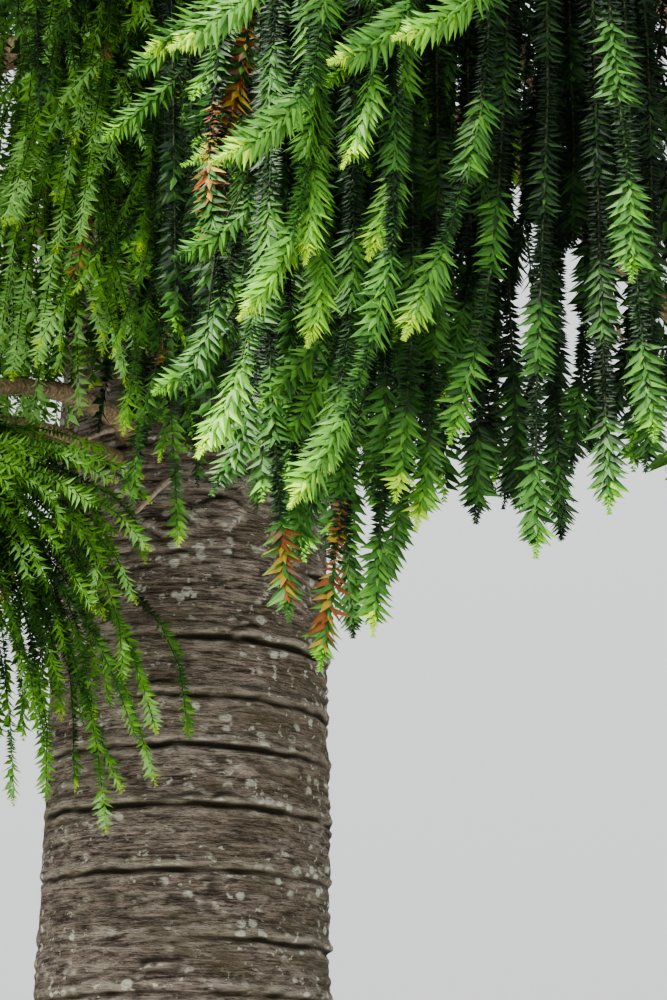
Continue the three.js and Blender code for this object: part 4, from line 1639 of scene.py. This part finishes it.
@dataclass
class Crown:
    """All boughs of the tree with their twigs and ropes."""

    eye: Eye = field(default_factory=Eye)
    growth: LeafGrowth = field(default_factory=LeafGrowth)
    side_boughs: int = 160
    lowest_side_bough: float = 4.9
    twig_share: float = 1.4
    rope_points: int = 9
    rope_step: float = 0.17
    bark_away: float = 7.66
    near_depth: float = 8.0
    far_depth: float = 11.0
    leader_height: float = 1.35
    leader_twigs: int = 18
    leader_reach: float = 0.85
    leader_tuft: int = 9
    tuft: int = 6
    strong_limb: tuple[int, int] = (12, 42)
    thin_limb: tuple[int, int] = (7, 16)
    twig_spots: tuple[float, ...] = (0.0, 0.03, 0.7, 1.0)
    twig_radii: tuple[float, ...] = (0.017, 0.017, 0.009, 0.004)
    far_stem: float = 0.007
    far_spots: tuple[int, ...] = (0, 3, 6, 8)
    near_stem: float = 0.005
    shown_stem: float = 0.0036

    def main_boughs(self) -> list[Bough]:
        """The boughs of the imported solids."""
        return [bough for whorl in WHORLS for bough in whorl.boughs()]

    def shown_boughs(self) -> list[Bough]:
        """More boughs that the photograph shows or needs, which carry its ropes."""
        skirt, low = WHORLS[0], WHORLS[1]
        high = {"reach": 2.75, "rise": 0.22, "droop": 0.36, "thickness": 0.034, "bare": 0.42, "twigs": 4}
        pair = {"reach": 2.3, "rise": 0.32, "droop": 0.55, "thickness": 0.022, "bare": 0.42}
        shade = {"reach": 5.3, "droop": 1.15, "lift": 0.62, "thickness": 0.045, "tone": 0.2}
        # left_high, centre_high and right_shade carry darker ropes, painted shade inside the crown
        return [
            skirt.bough("under_pair", 3.84, -119, **pair),
            skirt.bough("left_high", 5.35, -100, tone=0.34, **high),
            skirt.bough("centre_high", 5.6, -90, tone=0.2, **high),
            low.bough("right_shade", 6.15, -77, **shade),
        ]

    def extra_boughs(self, rng: np.random.Generator) -> list[Bough]:
        """The many boughs between the whorls, by the golden angle, within the reach of the masses.

        Args:
            rng: The source of random numbers.

        Returns:
            The boughs, without those that would hide what the photograph shows.
        """
        heights = np.array([whorl.height for whorl in WHORLS])
        names = [column.name for column in fields(Habit)]
        habits = {name: [getattr(whorl.habit, name) for whorl in WHORLS] for name in names}
        made = []
        top = TRUNK.height - 0.35
        for i in range(self.side_boughs):
            share = (i + rng.random()) / self.side_boughs
            height = blend(self.lowest_side_bough, top, share)
            azimuth = math.degrees(i * GOLDEN_ANGLE) % 360 - 180 + rng.normal(0, 6)
            nearest = WHORLS[int(np.argmin(np.abs(heights - height)))]
            size = {name: float(np.interp(height, heights, given)) for name, given in habits.items()}
            over = max(height - heights[-1], 0) / (top - heights[-1])
            size["twigs"] = round(size["twigs"])
            size["reach"] *= (0.74 + 0.24 * rng.random()) * (1 - 0.62 * over)
            size["rise"] = size["rise"] * (0.85 + 0.3 * rng.random()) + 0.5 * over
            size["thickness"] *= 0.5 + 0.2 * rng.random()
            size["rope_length"] *= 0.75 + 0.3 * rng.random()
            # Higher boughs get lighter ropes, painted light from above
            size["tone"] = float(np.clip(0.34 + 0.02 * height + rng.normal(0, 0.06), 0, 1))
            bough = nearest.bough(f"side_{i}", height, azimuth, **size)
            if self.clear(bough.points(np.linspace(0.12, Bough.END, 40))[None])[0]:
                made.append(bough)
        return made

    def clear(self, lines: Array) -> Array:
        """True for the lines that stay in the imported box, out of the open views and off the near ropes."""
        x, y, depth = self.eye.pixels(lines)
        hidden = BEHIND_TRUNK.holds(x, y, depth)
        shown = View.any_holds(OPEN_VIEWS, x, y, depth)
        near = NEAR_VIEW.holds(x, y, depth) & (depth < self.near_depth)
        boxed = np.all((lines > CAD_BOX[0] - 0.02) & (lines < CAD_BOX[1] + 0.02), axis=-1)
        return (boxed & ~near & (~shown | hidden)).all(axis=1)

    def fitted(self, lines: Array) -> tuple[Array, Array]:
        """Lines drawn in towards their roots where they would not be clear.

        Args:
            lines: The lines.

        Returns:
            The lines as far as they may reach, and a mask of those that fit at all.
        """
        fit, kept = lines.copy(), np.zeros(len(lines), dtype=bool)
        for share in (0.4, 0.7, 1.0):
            trial = lines[:, :1] + share * (lines - lines[:, :1])
            clear = self.clear(trial)
            fit[clear] = trial[clear]
            kept |= clear
        return fit, kept

    def twig_lines(self, bough: Bough, rng: np.random.Generator) -> tuple[Array, Array, Array]:
        """The side twigs of a bough, by the source's rule, shorter where they would leave its space.

        Args:
            bough: The bough.
            rng: The source of random numbers.

        Returns:
            Their roots, their tips and the directions in which they leave the bough.
        """
        n = round(bough.twigs * self.twig_share)
        t = (np.arange(n) + 0.45) / n
        s = blend(bough.bare, 0.93, t**0.8)
        root, ahead = bough.points(s), bough.aheads(s)
        side = unit(np.cross(ahead, UP))
        above = np.cross(side, ahead)
        roll = np.arange(n) * GOLDEN_ANGLE + bough.azimuth
        away = unit(side * np.cos(roll)[:, None] + above * (np.sin(roll) * 0.75)[:, None])
        length = bough.twig_length * (1 - 0.4 * t) * rng.uniform(0.6, 1.0, n)
        reach = unit(away + 0.75 * ahead) * length[:, None]
        lines, kept = self.fitted(np.stack([root, root + 0.5 * reach, root + reach], axis=1))
        return root[kept], lines[kept, -1], away[kept]

    def rope_lines(
        self, bough: Bough, roots: Array, away: Array, ahead: Array, length: Array, rng: np.random.Generator
    ) -> Array:
        """Lines of ropes that leave a limb and then hang, by the source's rule for a spray's direction.

        Args:
            bough: The bough that carries them.
            roots: Where they leave their limb.
            away: The direction in which they leave it.
            ahead: The limb's own direction.
            length: Their lengths.
            rng: The source of random numbers.

        Returns:
            The points of each rope.
        """
        loose = 1 - bough.hang
        heading = ahead * LEVEL * loose + away * (0.3 + 0.35 * loose)
        heading = heading + UP * (loose * 0.45 - bough.hang)
        heading = heading + rng.normal(0, 0.09, roots.shape) * [1, 1, 0.5]
        heading = unit(heading) * length[:, None]
        knee = (away * 0.2 + ahead * 0.12 + UP * 0.03) * length[:, None]
        t = np.linspace(0, 1, self.rope_points)[None, :, None]
        lines = roots[:, None] + 2 * t * (1 - t) * knee[:, None] + t * t * heading[:, None]
        flick = (away * 0.05 + UP * 0.04) * length[:, None]
        return lines + ease(t, 0.78, 1.15) * flick[:, None]

    def grow(self, bough: Bough, rng: np.random.Generator) -> tuple[Array, Ropes]:
        """Grows one bough's twigs and ropes.

        Args:
            bough: The bough.
            rng: The source of random numbers.

        Returns:
            The twigs as pairs of root and tip, and the ropes.
        """
        root, tip, away = self.twig_lines(bough, rng)
        course = unit(tip - root)
        spots = []
        for share in (0.3, 0.62, 0.97):
            for sign in (-1, 1):
                side = unit(np.cross(course, UP)) * sign
                spots.append((blend(root, tip, share), unit(side + 0.35 * course + 0.25 * away), course))
        count = int(bough.reach * (1 - bough.bare) / self.rope_step)
        s = blend(bough.bare * 0.98, Bough.END, ((np.arange(count) + rng.random(count)) / count) ** 0.8)
        ahead = bough.aheads(s)
        side = unit(np.cross(ahead, UP)) * np.where(np.arange(count) % 2, 1, -1)[:, None]
        spots.append((bough.points(s), unit(side + rng.normal(0, 0.35, (count, 3))), ahead))
        fan = 2 * math.pi * np.arange(self.tuft)[:, None] / self.tuft
        end = np.repeat(bough.aheads(np.array([Bough.END])), self.tuft, axis=0)
        side = unit(np.cross(end, UP))
        above = np.cross(side, end)
        last = np.repeat(bough.points(np.array([Bough.END - 0.002])), self.tuft, axis=0)
        spots.append((last, unit(end + side * np.cos(fan) * 0.9 + above * np.sin(fan) * 0.9), end))
        roots, aways, aheads = map(np.concatenate, zip(*spots))
        length = bough.rope_length * rng.uniform(0.6, 1.12, len(roots))
        lines, kept = self.fitted(self.rope_lines(bough, roots, aways, aheads, length, rng))
        outward = turned(np.arctan2(roots[:, 1], roots[:, 0])) + rng.normal(0, 0.5, roots.shape) * LEVEL
        ropes = Ropes.grown(lines, outward, np.full(len(lines), bough.tone), rng)
        ends = ropes.lines[:, -1]
        low = (ends[:, 2] > bough.LOW_LIMIT) & (np.hypot(ends[:, 0], ends[:, 1]) < bough.reach + 0.3)
        return np.stack([root, tip], axis=1), ropes.pick(low & kept)

    def leader(self, rng: np.random.Generator) -> tuple[Array, Ropes]:
        """The tuft on the trunk's tip: a stem, twigs round it and short ropes that point up and out.

        Args:
            rng: The source of random numbers.

        Returns:
            The twigs as pairs of root and tip, and the ropes.
        """
        foot, height, n = TRUNK.axis_at(TRUNK.height), self.leader_height, self.leader_twigs
        t = (np.arange(n) + 0.3) / n
        root = foot + t[:, None] * height * UP
        away = turned(np.arange(n) * GOLDEN_ANGLE)
        length = self.leader_reach * (1 - 0.5 * t) * rng.uniform(0.7, 1.0, n)
        tip = root + unit(away + 0.75 * UP) * length[:, None]
        spots = []
        for share in (0.25, 0.5, 0.75, 0.98):
            for sign in (-1, 1):
                heading = unit(away * 0.9 + np.cross(away, UP) * sign * 0.8 + UP * 0.35)
                spots.append((blend(root, tip, share), heading))
        last = np.repeat((foot + UP * (height - 0.02))[None], self.leader_tuft, axis=0)
        spots.append((last, unit(turned(np.arange(self.leader_tuft) * 0.7) * 0.35 + UP)))
        roots, headings = map(np.concatenate, zip(*spots))
        length = rng.uniform(0.4, 0.85, len(roots))[:, None]
        t = np.linspace(0, 1, self.rope_points)[None, :, None]
        lines = roots[:, None] + t * (headings * length)[:, None] + t * t * (UP * 0.12 * length)[:, None]
        # The top's ropes are painted light, as lit from above
        ropes = Ropes.grown(lines, np.cross(headings, UP) + 1e-3, np.full(len(lines), 0.66), rng)
        stem = np.stack([foot - UP * 0.1, foot + UP * height])[None]
        inside = ropes.lines[:, -1, 2] < CAD_BOX[1][2] + 0.05
        return np.concatenate([stem, np.stack([root, tip], axis=1)]), ropes.pick(inside)

    def limbs(self, boughs: Sequence[Bough], sides: int, rings: int) -> Shell:
        """The woody limbs of boughs, each a closed tapering limb with knobs.

        Args:
            boughs: The boughs.
            sides: How many sides a limb has.
            rings: How many rings of points.

        Returns:
            One shell.
        """
        limbs = []
        share = np.concatenate([[0], np.linspace(0, 1, rings) ** 1.25, [1]])
        for i, bough in enumerate(boughs):
            s = blend(0.6 * float(TRUNK.radius_at(bough.height)) / bough.reach, Bough.END, share)
            s[-1] = Bough.END + 0.004
            points = bough.points(s)
            knobs = 1 + 0.12 * wander(points * 9.0, 400 + i) + 0.08 * wander(points * 31.0, 401 + i)
            limbs.append((points, bough.radii(s) * knobs, turned(bough.azimuth + math.pi / 2)))
        return LimbBlank.model(sides, rings).bend(*map(np.array, zip(*limbs)))

    def stubs(self) -> Shell:
        """The thin dead stubs that the photograph shows on the bark."""
        t = np.concatenate([[0], np.linspace(0, 1, 4), [1.04]])
        limbs = []
        for stub in STUBS:
            away = self.bark_away - np.array([0.0, stub.outward])
            root, tip = self.eye.spots(np.array([stub.root, stub.tip]), away)
            root = root + [0, 0.05, 0]
            line = blend(root, tip, t[:, None]) + UP * (0.05 * t * (1 - t))[:, None]
            limbs.append((line, stub.thickness * (1 - 0.45 * t), np.cross(tip - root, UP)))
        made = LimbBlank.model(7, 4).bend(*map(np.array, zip(*limbs)))
        made.slots[:] = 1
        return made

    def stems(self, ropes: Ropes, thick: float, sides: int, picked: Sequence[int]) -> Shell:
        """The woody cores of ropes.

        Args:
            ropes: The ropes.
            thick: The radius at the root.
            sides: How many sides a core has.
            picked: Which of the rope's points it passes.

        Returns:
            One shell.
        """
        lines = ropes.lines[:, picked]
        radii = np.repeat((thick * np.linspace(1.0, 0.35, len(picked)))[None], len(ropes), axis=0)
        return LimbBlank.model(sides, len(picked) - 2).bend(lines, radii, ropes.facing)

    def twig_shell(self, twigs: Array) -> Shell:
        """The twigs between the boughs and their ropes, given as pairs of root and tip."""
        t = np.array(self.twig_spots)[None, :, None]
        lines = blend(twigs[:, :1], twigs[:, 1:], t) - UP * 0.08 * t * (1 - t)
        radii = np.repeat(np.array([self.twig_radii]), len(twigs), axis=0)
        across = unit(np.cross(twigs[:, 1] - twigs[:, 0], UP) + [1e-3, 0, 0])
        return LimbBlank.model(5, 2).bend(lines, radii, across)

    def in_view(self, ropes: Ropes) -> Array:
        """True for the ropes that the photograph's camera sees well."""
        x, y, depth = self.eye.pixels(ropes.lines)
        seen = WHOLE_VIEW.holds(x, y, depth) & (depth < self.far_depth)
        return (seen & ~BEHIND_TRUNK.holds(x, y, depth)).any(axis=1)

    def build(self) -> None:
        """Builds and dresses every piece of the crown."""
        rng = np.random.default_rng(SEED)
        leaves = [finish.material() for finish in LEAF_FINISHES]
        limb_bark, dead_wood, twig_bark = (b.material() for b in (LIMB_BARK, DEAD_WOOD, TWIG_BARK))
        main = self.main_boughs()
        strong = main + self.shown_boughs()
        grown = [(bough, *self.grow(bough, rng)) for bough in strong + self.extra_boughs(rng)]
        leader = self.leader(rng)
        for whorl in WHORLS:
            boughs, twigs, ropes = map(list, zip(*(row for row in grown if row[0].whorl == whorl.name)))
            labels = [bough.label for bough in boughs if bough in main]
            masses = [f"foliage_{label}" for label in labels]
            if whorl is WHORLS[-1]:
                masses.append("foliage_leader")
                twigs.append(leader[0])
                ropes.append(leader[1])
            shells = [self.limbs([bough for bough in boughs if bough in strong], *self.strong_limb)]
            thin = [bough for bough in boughs if bough not in strong]
            if thin:
                shells.append(self.limbs(thin, *self.thin_limb))
            woods = [limb_bark]
            if whorl is WHORLS[0]:
                shells.append(self.stubs())
                woods.append(dead_wood)
            piece = Shell.join(shells).piece(f"limbs_{whorl.name}", woods)
            settle(piece, [f"bough_{label}" for label in labels])
            ropes = Ropes.join(ropes)
            seen = self.in_view(ropes)
            far, near = ropes.pick(~seen), ropes.pick(seen)
            shells = [self.twig_shell(np.concatenate(twigs))]
            shells.append(self.stems(far, self.far_stem, 3, self.far_spots))
            if len(near):
                shells.append(self.stems(near, self.near_stem, 4, range(self.rope_points)))
            settle(Shell.join(shells).piece(f"twigs_{whorl.name}", [twig_bark]), masses)
            self.leaf_pieces(f"leaves_{whorl.name}", [(far, CROWN_LEAF), (near, VIEW_LEAF)], leaves, masses)
            LOG.info("%s: %d ropes, %d of them in view", whorl.name, len(ropes), len(near))
        self.drape_pieces(strong, leaves, twig_bark)

    def drape_pieces(
        self, boughs: Sequence[Bough], leaves: Sequence[bpy.types.Material], bark: bpy.types.Material
    ) -> None:
        """Builds the ropes that the photograph shows, with leaves near life size.

        Args:
            boughs: The boughs, some of which carry these ropes.
            leaves: The leaves' materials.
            bark: The twigs' material.
        """
        by_label = {bough.label: bough for bough in boughs}
        picked = [*range(0, Drape.POINTS - 1, 2), Drape.POINTS - 1]
        for i, drape in enumerate(DRAPES):
            rng = np.random.default_rng(SEED + 50 + i)
            s = np.linspace(drape.carried_from, 1.0, 60)
            along = np.concatenate([by_label[name].points(s) for name in drape.carriers])
            chosen, filled = drape.chosen(self.eye, along, rng), drape.filled(self.eye, along, rng)
            stems = self.stems(Ropes.join([chosen, filled]), self.shown_stem, 4, picked)
            settle(stems.piece(f"twigs_{drape.name}", [bark]), [drape.mass])
            bright = chosen.tone >= drape.fine_above
            batches = [
                (chosen.pick(bright), drape.guide_leaf),
                (Ropes.join([chosen.pick(~bright), filled]), drape.filling_leaf),
            ]
            self.leaf_pieces(f"leaves_{drape.name}", batches, leaves, [drape.mass])

    def leaf_pieces(
        self,
        name: str,
        batches: Sequence[tuple[Ropes, LeafForm]],
        leaves: Sequence[bpy.types.Material],
        masses: Sequence[str],
    ) -> None:
        """Makes pieces of leaves, each under the limit on triangles.

        Args:
            name: The pieces' name, numbered where there are several.
            batches: The ropes with the form of their leaves.
            leaves: The leaves' materials.
            masses: The solids that the pieces stand for.
        """
        total = sum(ropes.lengths().sum() * form.per_metre * len(form.faces) for ropes, form in batches)
        parts = math.ceil(total / PIECE_LIMIT)
        for i in range(parts):
            shells = []
            for k, (ropes, form) in enumerate(batches):
                mine = ropes.pick(slice(i, None, parts))
                if len(mine):
                    shells.append(self.growth.grow(mine, form, SEED + 10 * i + k))
            label = name if parts == 1 else f"{name}_{i + 1}"
            settle(Shell.join(shells).piece(label, leaves), masses)



# The studio


@dataclass(frozen=True)
class Studio:
    """A plain pale floor, a pale surround and soft light.

    suns gives each sun's name, its strength, and in degrees how wide it is, its height and its azimuth.
    """

    floor_size: float = 160.0
    floor_drop: float = 0.002
    zenith: Colour = (0.90, 0.94, 0.97)
    horizon: Colour = (0.72, 0.73, 0.73)
    haze_band: tuple[float, float] = (-0.05, 0.9)
    surround_strength: float = 1.25
    sun_colour: Colour = (1.0, 0.97, 0.90)
    suns: tuple[tuple[str, float, float, float, float], ...] = (
        ("key", 6.6, 22, 46, -124),
        ("fill", 1.9, 50, 12, -112),
    )

    def build(self) -> None:
        """Adds the floor, the surround and the light."""
        start_clean()
        bpy.ops.mesh.primitive_circle_add(vertices=96, radius=self.floor_size / 2, fill_type="NGON")
        floor = bpy.context.object
        floor.name = "floor"
        for vertex in floor.data.vertices:
            vertex.co.z = -self.floor_drop
        floor.data.materials.append(FloorFinish().material())
        world = bpy.data.worlds.new("surround")
        bpy.context.scene.world = world
        world.use_nodes = True
        graph = Graph(world.node_tree)
        heading = graph.node("ShaderNodeTexCoord", {}, {}, "Generated")
        height = graph.node("ShaderNodeSeparateXYZ", {}, {0: heading}, "Z")
        colour = graph.mix(height.step(*self.haze_band), self.horizon, self.zenith)
        inputs = {"Color": colour, "Strength": self.surround_strength}
        surround = graph.node("ShaderNodeBackground", {}, inputs)
        output = world.node_tree.nodes.new("ShaderNodeOutputWorld")
        graph.feed(output.inputs[0], surround)
        for name, strength, angle, height, azimuth in self.suns:
            data = bpy.data.lights.new(f"sun_{name}", "SUN")
            data.energy = strength
            data.angle = math.radians(angle)
            data.color = self.sun_colour
            sun = bpy.data.objects.new(f"sun_{name}", data)
            sun.rotation_euler = (math.radians(90 - height), 0.0, math.radians(azimuth + 90))
            bpy.context.scene.collection.objects.link(sun)
        scene = bpy.context.scene
        scene.view_settings.view_transform = "AgX"
        scene.view_settings.look = "AgX - Medium High Contrast"


def main() -> None:
    """Builds the tree, the studio and the camera."""
    logging.basicConfig(level=logging.INFO, format="%(message)s")
    eye = Eye()
    eye.make()
    Studio().build()
    crown = Crown(eye)
    trunk = TRUNK.build(crown.main_boughs() + crown.shown_boughs())
    TRUNK.dress(trunk)
    crown.build()
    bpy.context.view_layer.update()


if __name__ == "__main__":
    main()
